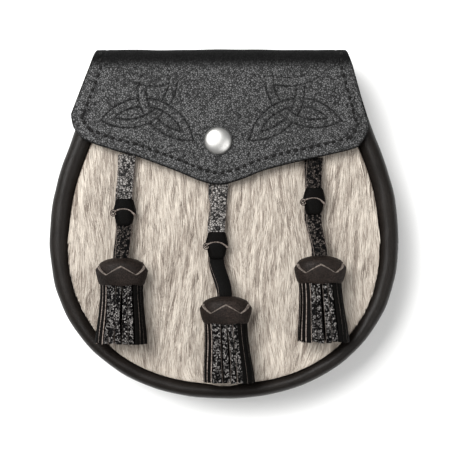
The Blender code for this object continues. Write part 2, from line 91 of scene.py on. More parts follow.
SNAP_X = -0.0033
SNAP_Y = 0.0450
SNAP_CAP_RADIUS = 0.0075
SNAP_CAP_HEIGHT = 0.0034
SNAP_SHANK_RADIUS = 0.0018
SNAP_SOCKET_RADIUS = 0.0050
SNAP_SOCKET_HEIGHT = 0.0024
SNAP_BORE_RADIUS = 0.0031
SNAP_CEILING = 0.0008

LOOP_WALL = 0.0025
LOOP_TUNNEL = 0.0055
LOOP_WIDTH = 0.0220
LOOP_SPAN = 0.0280
LOOP_FOOT = 0.0080
LOOP_RAMP = 0.0030
LOOP_X = 0.0330
LOOP_Y = 0.0460

STRAP_WIDTH = 0.0096
STRAP_THICKNESS = 0.0036
KNOT_HEIGHT = 0.0145
KNOT_WIDTH = 0.0132
KNOT_DEPTH = 0.0086
COLLAR_HEIGHT = 0.0148
COLLAR_WIDTH = 0.0280
COLLAR_DEPTH = 0.0182
COLLAR_BIGHTS = 5
HEAD_WIDTH = 0.0216
HEAD_DEPTH = 0.0134
FRINGE_LENGTH = 0.0316
FRINGE_WIDTH = 0.0278
FRINGE_DEPTH = 0.0172

# The flap's lower edge from left to right: share of half the body's width, share of the flap's drop
FLAP_EDGE = (
    {"across": -0.869, "drop": 0.480},
    {"across": -0.855, "drop": 0.574},
    {"across": -0.813, "drop": 0.646},
    {"across": -0.768, "drop": 0.686},
    {"across": -0.602, "drop": 0.758},
    {"across": -0.492, "drop": 0.796},
    {"across": -0.276, "drop": 0.900},
    {"across": -0.122, "drop": 0.981},
    {"across": -0.012, "drop": 1.000},
    {"across": 0.091, "drop": 0.967},
    {"across": 0.239, "drop": 0.893},
    {"across": 0.466, "drop": 0.820},
    {"across": 0.711, "drop": 0.746},
    {"across": 0.779, "drop": 0.694},
    {"across": 0.822, "drop": 0.568},
    {"across": 0.803, "drop": 0.477},
)

# Each tassel: places across as shares of half the width, places up as shares of half the height
TASSELS = (
    {"name": "left", "strap": -0.547, "knot": -0.565, "collar": -0.578, "hem": -0.581,
     "strap_top": 0.400, "knot_top": 0.146, "collar_top": -0.191},
    {"name": "centre", "strap": -0.020, "knot": -0.040, "collar": 0.010, "hem": 0.030,
     "strap_top": 0.235, "knot_top": -0.042, "collar_top": -0.407},
    {"name": "right", "strap": 0.515, "knot": 0.510, "collar": 0.543, "hem": 0.563,
     "strap_top": 0.380, "knot_top": 0.208, "collar_top": -0.179},
)

# The collar from the top down: share of its height, share of its full width (the solid starts at 0.32)
COLLAR_PROFILE = (
    {"down": 0.00, "outer": 0.36},
    {"down": 0.06, "outer": 0.62},
    {"down": 0.16, "outer": 0.86},
    {"down": 0.28, "outer": 0.97},
    {"down": 0.42, "outer": 1.00},
    {"down": 0.60, "outer": 0.975},
    {"down": 0.80, "outer": 0.915},
    {"down": 1.00, "outer": 0.84},
)

# The pressed interlace on the right half of the flap: four arcs that join neighbouring points of the
# figure, by the middle and outer radius of each. The left half mirrors it.
INTERLACE_ARCS = (
    {"x": 0.0405, "y": 0.0405, "radius": 0.0274},
    {"x": 0.0490, "y": 0.0790, "radius": 0.0270},
    {"x": 0.0345, "y": 0.1030, "radius": 0.0287},
    {"x": 0.0160, "y": 0.0725, "radius": 0.0273},
)
INTERLACE_MIRROR = -0.0015

HALF_WIDTH = WIDTH / 2
HALF_HEIGHT = HEIGHT / 2
WIDEST_Y = BOWL_DEPTH - HALF_HEIGHT
FOOT_Y = BACK_INSET - HALF_HEIGHT
BACK_SLOPE = (LOOP_WALL + LOOP_TUNNEL) / (LOOP_Y - FOOT_Y)
RIM_TOP = RIM_SEAT + RIM_HEIGHT
FUR_EDGE = RIM_TOP - FUR_EDGE_DROP
FLAP_SEAT = RIM_TOP + GAP
FLAP_CROWN = FUR_EDGE + FUR_CROWN + STRAP_THICKNESS + 2 * GAP - FLAP_SEAT
FOLD_Y = HALF_HEIGHT - FLAP_BEND_RADIUS

MM = 0.001
STEP = 0.01 * MM  # how far apart two places lie to measure a slope


def linear(code):
    """A colour written as sRGB hex, as the linear value that Blender works in."""
    parts = [int(code[k:k + 2], 16) / 255 for k in (1, 3, 5)]
    return [p / 12.92 if p <= 0.04045 else ((p + 0.055) / 1.055) ** 2.4 for p in parts] + [1.0]


def length_value(name, words, default, low, high):
    return bpy.props.FloatProperty(
        name=name, description=words, default=default, min=low, max=high, precision=5, unit="LENGTH")


def colour_value(name, words, code):
    return bpy.props.FloatVectorProperty(
        name=name, description=words, default=linear(code), size=4, min=0.0, max=1.0, subtype="COLOR")


class SporranSizes(bpy.types.PropertyGroup):
    hair_length: length_value("Hair length", "Length of a hair of the hide", 0.0175, 0.002, 0.02)
    hair_width: length_value("Hair width", "Width of a lock of hair at its root", 0.00050, 0.0001, 0.001)
    hair_spacing: length_value("Hair spacing", "Distance between neighbouring roots", 0.00064, 0.0004, 0.002)
    pile: length_value("Pile", "Height of the hair over the skin", 0.0022, 0.0005, 0.004)
    stitch_pitch: length_value("Stitch pitch", "Distance from stitch to stitch", 0.0041, 0.002, 0.008)
    stitch_length: length_value("Stitch length", "Length of a stitch that shows", 0.0024, 0.001, 0.006)
    thread_width: length_value("Thread width", "Width of the sewing thread", 0.0015, 0.0003, 0.002)
    stitch_inset: length_value("Stitch inset", "Distance of the seam from the edge", 0.0062, 0.002, 0.015)
    press_depth: length_value("Press depth", "Depth of the pressed lines", 0.00050, 0.0, 0.001)
    press_width: length_value("Press width", "Half width of a pressed line", 0.00050, 0.0001, 0.001)
    press_band: length_value("Band width", "Width of a band of the interlace", 0.0045, 0.002, 0.008)
    strip_width: length_value("Strip width", "Width of a strip of a fringe", 0.0024, 0.001, 0.005)
    strip_thickness: length_value("Strip thickness", "Thickness of a strip", 0.0018, 0.0005, 0.003)
    floor_size: length_value("Floor size", "Side of the studio floor", 6.0, 1.0, 20.0)


class SporranColours(bpy.types.PropertyGroup):
    # The dark tone of each leather is painted into the creases between its grain cells, as painted shade. The
    # light tones of the flap, strap and tassel leathers also stand for the glints on the tops of their grain, as
    # painted glints.
    flap_dark: colour_value("Flap, dark", "Pebbled leather of the flap, between the pebbles", "#080808")
    flap_grey_and_sheen: colour_value("Flap, light", "Pebbled leather of the flap, on the pebbles", "#666666")
    calf_dark: colour_value("Smooth leather, dark", "Smooth leather in its creases", "#0A0806")
    calf_light: colour_value("Smooth leather, light", "Smooth leather where it is rubbed", "#221D1A")
    tassel_dark: colour_value("Tassel leather, dark", "Tassel leather in its grain", "#050505")
    tassel_glint: colour_value("Tassel leather, light", "Tassel leather on its grain", "#8E8A87")
    dull_tone_and_glint: colour_value("Lower strap, light", "Lower strap leather on its grain", "#57504B")
    strap_tone_and_glint: colour_value("Strap, light", "Strap leather on its grain", "#95918D")
    collar_dark: colour_value("Collar, dark", "Collar leather in its creases", "#0D0907")
    collar_light: colour_value("Collar, light", "Collar leather where it is rubbed", "#2C2420")
    cut_edge: colour_value("Cut edge", "Raw edge and flesh side of the tassel leather", "#9A8E86")
    waxed_edge: colour_value("Waxed edge", "Raw edge of the collars and knots", "#7A7068")
    hair_pale: colour_value("Pale hair", "Pale hairs of the hide", "#BDB4A8")
    hair_taupe: colour_value("Taupe hair", "Darker hairs of the hide", "#796E64")
    hair_dark: colour_value("Dark hair", "Darkest hairs of the hide", "#564B42")
    thread: colour_value("Thread", "Waxed sewing thread", "#040404")
    nickel: colour_value("Nickel", "Satin nickel of the press stud", "#C6C5C2")
    floor: colour_value("Floor", "Studio floor", "#F4F4F3")


def ease(share):
    return share * share * (3 - 2 * share)


def ripple(x, y, seed):
    """A smooth uneven field between about -1 and 1, of x and y counted in its own wavelengths."""
    found = np.zeros(np.broadcast(x, y).shape)
    draw = np.random.default_rng(seed)
    for k in range(7):
        turn, phase = draw.uniform(0, 2 * math.pi, 2)
        pitch = draw.uniform(0.6, 1.9)
        found += np.sin(2 * math.pi * pitch * (x * math.cos(turn) + y * math.sin(turn)) + phase)
    return found / 3.2


def between(stops, at):
    """Smooth value at one place among (place, value) stops, whose places fall."""
    if at >= stops[0][0]:
        return stops[0][1]
    for (high, first), (low, second) in zip(stops, stops[1:]):
        if at >= low:
            return first + (second - first) * ease((high - at) / (high - low))
    return stops[-1][1]


def back_outer(y):
    return (y - FOOT_Y) * BACK_SLOPE


def back_inner(y):
    return back_outer(y) + BACK_WALL * math.hypot(1, BACK_SLOPE)


def fur_top(x, y):
    """Height of the hide's outer surface: a shallow crown."""
    bulge = 1 - (x / HALF_WIDTH) ** 2 - ((y - WIDEST_Y) / HALF_HEIGHT) ** 2
    return FUR_EDGE + FUR_CROWN * np.maximum(0.0, bulge)


def fur_peak(x, half, high, low):
    """The hide's greatest height under something this wide that spans two levels."""
    return float(fur_top(max(0.0, abs(x) - half), min(max(WIDEST_Y, low), high)))


def flap_under(x):
    """Height of the flap's inner face: on the rim at the sides, over the straps between."""
    across = np.minimum(1.0, np.abs(x) / (FLAP_SEAT_SHARE * HALF_WIDTH))
    return FLAP_SEAT + FLAP_CROWN * (1 - across ** FLAP_FLATNESS)


def flap_outer(x, y):
    """Height of the flap's outer face, round the fold as well."""
    over = np.clip((y - FOLD_Y) / FLAP_BEND_RADIUS, 0.0, 0.995)
    return flap_under(x) + FLAP_WALL - FLAP_BEND_RADIUS * (1 - np.sqrt(1 - over ** 2))


def full_turn(count):
    return np.linspace(0, 2 * math.pi, count, endpoint=False)


def wrapped(turn):
    """The same turn, between minus and plus half a circle."""
    return (turn + math.pi) % (2 * math.pi) - math.pi


def run_along(line):
    """Distance along a line from its start to each of its points."""
    return np.concatenate([[0.0], np.cumsum(np.linalg.norm(np.diff(line, axis=0), axis=1))])


def at_runs(goals, run, values):
    """The rows of values at these distances, where run is the distance of each row."""
    return np.stack([np.interp(goals, run, values[:, k]) for k in range(values.shape[1])], axis=1)


def evenly(line, count):
    """The points of a line, spaced evenly along it."""
    line = np.asarray(line, float)
    run = run_along(line)
    return at_runs(np.linspace(0, run[-1], count), run, line)


def with_inward(line):
    """A line that runs anticlockwise round the body, and the direction inwards at each of its points."""
    along = np.gradient(line, axis=0)
    along = along / np.linalg.norm(along, axis=1)[:, None]
    return line, np.stack([-along[:, 1], along[:, 0]], axis=1)


def distance_to(line, x, y):
    """Distance of each place from the nearest point of a line."""
    tree = kdtree.KDTree(len(line))
    for k, point in enumerate(line):
        tree.insert((point[0], point[1], 0), k)
    tree.balance()
    return np.array([tree.find((a, b, 0))[2] for a, b in zip(x.ravel(), y.ravel())]).reshape(x.shape)


def outline(top_margin, count):
    """(place, inward) along the body's outline, from the left top round the foot to the right top."""
    power = 2 / BOWL_SQUARENESS
    turn = np.linspace(0, math.pi / 2, 240)
    bowl = np.stack([HALF_WIDTH * np.sin(turn) ** power,
                     WIDEST_Y - BOWL_DEPTH * np.maximum(0, np.cos(turn)) ** power], axis=1)
    lean = math.radians(SIDE_LEAN_DEG)
    turn = np.linspace(0, lean, 40)[1:]
    shoulder = np.stack([HALF_WIDTH - SHOULDER_RADIUS * (1 - np.cos(turn)),
                         WIDEST_Y + SHOULDER_RADIUS * np.sin(turn)], axis=1)
    x, y = shoulder[-1]
    rise = np.linspace(0, HALF_HEIGHT - y, 20)[1:]
    side = np.stack([x - rise * math.tan(lean), y + rise], axis=1)
    half = np.concatenate([bowl, shoulder, side])
    limit = HALF_HEIGHT - top_margin
    end = np.array([[np.interp(limit, half[:, 1], half[:, 0]), limit]])
    half = np.concatenate([half[half[:, 1] < limit], end])
    return with_inward(evenly(np.concatenate([half[::-1] * (-1, 1), half[1:]]), count))


def rim_width(inward):
    """The roll is narrower at the foot than at the sides."""
    return RIM_SIDE_WIDTH + (RIM_FOOT_WIDTH - RIM_SIDE_WIDTH) * np.maximum(0.0, inward[:, 1])


def section(half_x, half_z, corner, steps=1):
    """A rounded rectangle about the origin, from the right side round."""
    points = []
    for sign_x, sign_z, start in ((1, 1, 0), (-1, 1, 90), (-1, -1, 180), (1, -1, 270)):
        for k in range(steps + 1):
            turn = math.radians(start + 90 * k / steps)
            points.append((sign_x * (half_x - corner) + corner * math.cos(turn),
                           sign_z * (half_z - corner) + corner * math.sin(turn)))
    return np.array(points)


def side_slots(ring, front, edge, back):
    """A material slot for each side of a section: the one for its front, its edges or its back."""
    step = np.roll(ring, -1, axis=0) - ring
    up = -step[:, 0] / np.maximum(np.linalg.norm(step, axis=1), 1e-12)
    return np.where(up > 0.8, front, np.where(up < -0.8, back, edge))


def new_piece(name, points, faces, materials, marks):
    """A smooth mesh object that rides on the body; marks are values for its points, by name."""
    mesh = bpy.data.meshes.new(name)
    mesh.from_pydata(points.tolist(), [], faces)
    for material in materials:
        mesh.materials.append(material)
    mesh.shade_smooth()
    for mark, values in marks.items():
        layer = mesh.attributes.new(mark, "FLOAT", "POINT")
        layer.data.foreach_set("value", np.asarray(values, np.float32))
    made = bpy.data.objects.new(name, mesh)
    bpy.context.scene.collection.objects.link(made)
    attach(made, "root")
    return made


class Shape:
    """Points and faces gathered for one piece, with a material slot for each face."""

    def __init__(self):
        self.points = []
        self.faces = []
        self.slots = []
        self.count = 0

    def add(self, points, quads, others=(), quad_slots=0, other_slot=0):
        """Adds one closed skin, turned so that its faces point outwards."""
        points = np.asarray(points, float).reshape(-1, 3)
        quads = np.asarray(quads, int).reshape(-1, 4)
        corners = points[quads] - points.mean(axis=0)
        volume = np.linalg.det(corners[:, [0, 1, 2]]).sum() + np.linalg.det(corners[:, [0, 2, 3]]).sum()
        for face in others:
            around = points[list(face)] - points.mean(axis=0)
            fan = [[around[0], around[k], around[k + 1]] for k in range(1, len(around) - 1)]
            volume += np.linalg.det(np.array(fan)).sum()
        others = [list(face) for face in others]
        if volume < 0:
            quads = quads[:, ::-1]
            others = [face[::-1] for face in others]
        self.faces += (quads + self.count).tolist()
        self.faces += [[k + self.count for k in face] for face in others]
        self.slots += np.broadcast_to(quad_slots, len(quads)).tolist() + [other_slot] * len(others)
        self.points.append(points)
        self.count += len(points)

    def loft(self, rings, slots=0, end_slot=0, joined=False):
        """Adds a skin over rings of as many points each, capped at its ends or joined end to end."""
        rings = np.asarray(rings, float)
        count, sides = rings.shape[:2]
        row, side = np.meshgrid(np.arange(count if joined else count - 1), np.arange(sides), indexing="ij")
        ahead, beside = (row + 1) % count, (side + 1) % sides
        quads = np.stack([row * sides + side, row * sides + beside,
                          ahead * sides + beside, ahead * sides + side], axis=-1).reshape(-1, 4)
        slots = np.broadcast_to(slots, row.shape).reshape(-1)
        ends = [] if joined else [range(sides - 1, -1, -1), range((count - 1) * sides, count * sides)]
        self.add(rings, quads, ends, slots, end_slot)

    def piece(self, name, materials, nodes=(), marks=None, sharp=50):
        """The finished piece, riding on the body in place of its solids."""
        made = new_piece(name, np.concatenate(self.points), self.faces, materials, marks or {})
        made.data.polygons.foreach_set("material_index", self.slots)
        made.data.set_sharp_from_angle(angle=math.radians(sharp))
        if nodes:
            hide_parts(*nodes)
        return made


def sew(shape, path, normals, sizes, slot=0):
    """Lays stitches along a path, each a short rounded run of thread that dips into the leather."""
    run = run_along(path)
    count = max(1, int(run[-1] / sizes.stitch_pitch))
    goals = (np.arange(count) + 0.5) * run[-1] / count
    places, ups = at_runs(goals, run, path), at_runs(goals, run, normals)
    ahead, before = at_runs(goals + STEP, run, path), at_runs(goals - STEP, run, path)
    half = sizes.thread_width / 2
    # Along the stitch: share of its length, lift and width in halves of the thread
    form = ((-0.5, -0.9, 0.45), (-0.36, 0.1, 0.95), (0.0, 0.35, 1.0), (0.36, 0.1, 0.95), (0.5, -0.9, 0.45))
    for place, up, after, behind in zip(places, ups, ahead, before):
        along = (after - behind) / np.linalg.norm(after - behind)
        up = up - along * up.dot(along)
        up /= np.linalg.norm(up)
        beside = np.cross(along, up)
        rings = []
        for share, lift, wide in form:
            middle = place + along * share * sizes.stitch_length + up * lift * half
            rings.append([middle + half * wide * (beside * math.cos(t) + 0.7 * up * math.sin(t))
                          for t in full_turn(6)])
        shape.loft(rings, slots=slot, end_slot=slot)


# Materials


def feed(tree, node, inputs):
    """Sets inputs of a node, by name or number. Each is a value, or the output that feeds it."""
    for name, value in inputs.items():
        if isinstance(value, bpy.types.NodeSocket):
            tree.links.new(value, node.inputs[name])
        else:
            node.inputs[name].default_value = value


def add(tree, kind, inputs=(), output=0, **settings):
    """Adds a node with its settings and links, and gives one of its outputs."""
    node = tree.nodes.new("ShaderNode" + kind)
    for name, value in settings.items():
        setattr(node, name, value)
    feed(tree, node, inputs if isinstance(inputs, dict) else dict(enumerate(inputs)))
    return node.outputs[output]


def new_material(name):
    material = bpy.data.materials.new(name)
    material.use_nodes = True
    return material, material.node_tree, add(material.node_tree, "TexCoord", output="Object")


def finish(tree, colour, rough, relief=None, gloss=0.5, metal=0.0):
    """Feeds the shader. relief is the strength and depth of its bump, and the height that drives it."""
    inputs = {"Base Color": colour, "Roughness": rough, "Specular IOR Level": gloss, "Metallic": metal}
    if relief:
        inputs["Normal"] = add(tree, "Bump", dict(zip(("Strength", "Distance", "Height"), relief)), "Normal")
    feed(tree, tree.nodes["Principled BSDF"], inputs)


def make_leather(name, dark, light, grain, relief, rough_low, rough_high, wear=0.5, uneven=0.3, gloss=0.15,
                 tones=(0.2, 0.6), flap=False):
    """Dyed leather: closed cells of grain with creases between, a patchy dye, and fine pores.

    grain is the width of a cell and relief its height; uneven is how much the cells differ in tone, and
    tones the range of it over which a cell goes from dark to light. The colour is darker in the creases as
    painted shade and lighter on the cell tops as a painted sheen; on the glazed and pebbled leathers the
    cells of differing tone stand for painted glints.
    The flap is darker and flatter in its pressed lines, along its edge, in its seam and over its fold; the
    darkening there is partly the leather's own and partly painted shade.
    """
    material, tree, place = new_material(name)
    warp = add(tree, "TexNoise", {"Vector": place, "Scale": 0.7 / grain, "Detail": 2.0}, "Color")
    cells = {"Vector": add(tree, "MixRGB", (grain * 0.22, place, warp), blend_type="LINEAR_LIGHT"),
             "Scale": 1 / grain}
    domes = add(tree, "TexVoronoi", cells, "Distance", feature="DISTANCE_TO_EDGE")
    domes = add(tree, "MapRange", (domes, 0.0, 0.2), interpolation_type="SMOOTHSTEP")
    single = add(tree, "TexVoronoi", cells, "Color", feature="F1")
    pores = add(tree, "TexNoise", {"Vector": place, "Scale": 2.6 / grain, "Detail": 3.0, "Roughness": 0.65}, "Fac")
    patches = add(tree, "TexNoise", {"Vector": place, "Scale": 55.0, "Detail": 4.0, "Roughness": 0.6}, "Fac")
    height = add(tree, "Math", (pores, 0.45, domes), operation="MULTIPLY_ADD")
    # The colour: darker in the creases between the cells as painted shade, lighter on their tops as a painted
    # sheen, with cells of differing tone that stand for painted glints, and patchy dye
    dye_sheen_and_crease_shade = domes
    for factor in ((pores, 0.3, 0.6, 0.3, 1.0), (single, *tones, 1 - uneven, 1.0),
                   (patches, 0.25, 0.75, 1 - wear, 1 + wear)):
        dye_sheen_and_crease_shade = add(tree, "Math", (dye_sheen_and_crease_shade, add(tree, "MapRange", factor)), operation="MULTIPLY")
    colour = add(tree, "Mix", {0: dye_sheen_and_crease_shade, 6: dark, 7: light}, 2, data_type="RGBA")
    rough = (add(tree, "MapRange", (domes, 0.0, 1.0, rough_high, rough_low)),
             add(tree, "MapRange", (patches, 0.3, 0.7, -0.06, 0.06)))
    rough = add(tree, "Math", rough, operation="ADD")
    if flap:
        # The flap's marks darken and flatten it: its pressed lines and fold are partly its own worked leather and
        # partly painted shade, with a painted shadow line along its edge and painted shade in its seam groove
        press, fold = (add(tree, "Attribute", (), "Fac", attribute_name=mark) for mark in ("press", "fold"))
        fold = add(tree, "Math", (fold, 0.96), operation="MULTIPLY")
        pressed_and_painted_shade = add(tree, "Math", (press, fold), operation="MAXIMUM")
        colour = add(tree, "Mix", {0: pressed_and_painted_shade, 6: colour, 7: dark}, 2, data_type="RGBA")
        rough = add(tree, "Math", (pressed_and_painted_shade, 0.25, rough), operation="MULTIPLY_ADD")
        flatter = add(tree, "MapRange", (pressed_and_painted_shade, 0.0, 1.0, 1.0, 0.15))
        height = add(tree, "Math", (height, flatter), operation="MULTIPLY")
        gloss = add(tree, "MapRange", (pressed_and_painted_shade, 0.0, 1.0, gloss, 0.05))
    finish(tree, colour, rough, (1.0, relief, height), gloss)
    return material


def make_mottled(name, first, second, size, detail, uneven, low, high, rough, relief=None, gloss=0.5, metal=0.0):
    """A plain finish that goes from one tone to another over marks of this size, and rises with them.

    low and high bound the part of the marks over which the tone changes. rough is a value, or a range.
    """
    material, tree, place = new_material(name)
    noise = {"Vector": place, "Scale": 1 / size, "Detail": detail, "Roughness": uneven}
    marks = add(tree, "TexNoise", noise, "Fac")
    share = add(tree, "MapRange", (marks, low, high))
    colour = add(tree, "Mix", {0: share, 6: first, 7: second}, 2, data_type="RGBA")
    if isinstance(rough, tuple):
        rough = add(tree, "MapRange", (marks, 0.3, 0.7, *rough))
    finish(tree, colour, rough, relief and (*relief, marks), gloss, metal)
    return material


def make_hair(colours):
    """Hair of a roan hide: each lock has a tone of its own, paler at its tip, with a soft gloss."""
    material, tree, place = new_material("roan hair")
    tone, along = (add(tree, "Attribute", (), "Fac", attribute_name=mark) for mark in ("tone", "along"))
    fleck = add(tree, "TexNoise", {"Vector": place, "Scale": 900.0, "Detail": 2.0}, "Fac")
    fleck = add(tree, "MapRange", (fleck, 0.3, 0.7, 0.0, 0.12))
    colour = colours.hair_pale[:]
    for share, shade in ((add(tree, "MapRange", (tone, 0.15, 0.75)), colours.hair_taupe),
                         (add(tree, "MapRange", (tone, 0.78, 1.0)), colours.hair_dark),
                         (add(tree, "MapRange", (along, 0.0, 0.6, 0.3, 0.0)), colours.hair_taupe),
                         (add(tree, "Math", (fleck, along), operation="MULTIPLY"), colours.hair_pale)):
        colour = add(tree, "Mix", {0: share, 6: colour, 7: shade[:]}, 2, data_type="RGBA")
    finish(tree, colour, 0.65, gloss=0.2)
    return material


def make_thread(colours):
    """Waxed polyester thread, black, with the twist of its plies."""
    material, tree, place = new_material("waxed thread")
    plies = add(tree, "TexWave", {"Vector": place, "Scale": 1 / (2.7 * MM), "Distortion": 0.6}, "Fac",
                bands_direction="DIAGONAL")
    colour = add(tree, "Mix", {0: plies, 6: colours.thread[:], 7: linear("#121110")}, 2, data_type="RGBA")
    finish(tree, colour, 0.6, (0.5, 0.08 * MM, plies), 0.15)
    return material


# Body


def flap_edge(count):
    """The flap's lower edge as a smooth curve through its table."""
    stops = np.array([(row["across"] * HALF_WIDTH, HALF_HEIGHT - row["drop"] * FLAP_DROP)
                      for row in FLAP_EDGE])
    padded = np.concatenate([stops[:1], stops, stops[-1:]])
    line = []
    for a, b, c, d in zip(padded, padded[1:], padded[2:], padded[3:]):
        for t in np.linspace(0, 1, 24, endpoint=False):
            line.append(0.5 * (2 * b + (c - a) * t + (2 * a - 5 * b + 4 * c - d) * t ** 2
                               + (3 * b - a - 3 * c + d) * t ** 3))
    return evenly(line + [stops[-1]], count)


def flap_border(edge):
    """The flap's border from the left end of the fold round to the right end, and its inward direction."""
    left = (FLAP_TOP_LEFT * HALF_WIDTH, FOLD_Y)
    right = (FLAP_TOP_RIGHT * HALF_WIDTH, FOLD_Y)
    return with_inward(evenly(np.concatenate([[left], edge, [right]]), 3000))


def circles_meet(first, second, trim):
    """The two places where the middles of two arcs' bands cross."""
    a = np.array([first["x"], first["y"]])
    b = np.array([second["x"], second["y"]])
    ra, rb = first["radius"] - trim, second["radius"] - trim
    apart = np.linalg.norm(b - a)
    along = (ra ** 2 - rb ** 2 + apart ** 2) / (2 * apart)
    if ra ** 2 < along ** 2:
        return []
    unit = (b - a) / apart
    aside = math.sqrt(ra ** 2 - along ** 2) * np.array([-unit[1], unit[0]])
    return [a + unit * along + aside, a + unit * along - aside]


def interlace(band):
    """Points on the pressed lines of one figure, with the lines that pass under a band left out."""
    arcs = INTERLACE_ARCS
    count = len(arcs)
    middle = np.array([[arc["x"], arc["y"]] for arc in arcs]).mean(axis=0)
    tips = []
    for i in range(count):
        found = circles_meet(arcs[i], arcs[(i + 1) % count], band / 2)
        tips.append(max(found, key=lambda p: np.linalg.norm(p - middle)))
    spans = []
    for i, arc in enumerate(arcs):
        centre = np.array([arc["x"], arc["y"]])
        to_middle, first, last = (math.atan2(*(p - centre)[::-1]) for p in (middle, tips[i - 1], tips[i]))
        spans.append((centre, to_middle, wrapped(first - to_middle), wrapped(last - to_middle)))
    crossings = []
    for i in range(count):
        for j in range(i + 1, count):
            for place in circles_meet(arcs[i], arcs[j], band / 2):
                if min(np.linalg.norm(place - tip) for tip in tips) < band:
                    continue
                shares = []
                for centre, to_middle, first, last in (spans[i], spans[j]):
                    turn = wrapped(math.atan2(*(place - centre)[::-1]) - to_middle)
                    shares.append((turn - first) / (last - first))
                if all(0 < share < 1 for share in shares):
                    crossings.append((place, (i, shares[0]), (j, shares[1])))
    visits = sorted((arc + share, number, arc) for number, (_, *both) in enumerate(crossings)
                    for arc, share in both)
    under = {(number, arc) for order, (_, number, arc) in enumerate(visits) if order % 2}
    points = []
    for i, (centre, to_middle, first, last) in enumerate(spans):
        reach = math.radians(25) * (1 if last > first else -1)
        for side in (0, -band):
            radius = arcs[i]["radius"] + side
            steps = int(abs(last - first + 2 * reach) * radius / (0.15 * MM))
            for turn in np.linspace(first - reach, last + reach, steps):
                angle = to_middle + turn
                place = centre + radius * np.array([math.cos(angle), math.sin(angle)])
                kept = True
                for tip, other in ((tips[i - 1], i - 1), (tips[i], (i + 1) % count)):
                    if np.linalg.norm(place - tip) < 2.2 * band:
                        kept &= np.linalg.norm(place - spans[other][0]) < arcs[other]["radius"] + side
                for number, (crossing, *both) in enumerate(crossings):
                    if (number, i) not in under or np.linalg.norm(place - crossing) > 1.6 * band:
                        continue
                    other = next(arc for arc, _ in both if arc != i)
                    away = np.linalg.norm(place - spans[other][0]) - arcs[other]["radius"]
                    kept &= not -band < away < 0
                if kept:
                    points.append(place)
    return np.array(points)


def pressed_depth(x, y, sizes):
    """Share of the full depth that the pressed lines have at each place of the flap's front."""
    figure = interlace(sizes.press_band)
    both = np.concatenate([figure, figure * (-1, 1) + (2 * INTERLACE_MIRROR, 0)])
    away = distance_to(both, x, y)
    fade = np.clip((HALF_HEIGHT - 0.0065 - y) / 0.016, 0.12, 1.0)
    return np.exp(-(away / sizes.press_width) ** 2) * fade


def flap_sway(x, y):
    """Soft waves in the flap's outer face."""
    return ripple(x / 0.035, y / 0.03, 5) * 0.18 * MM


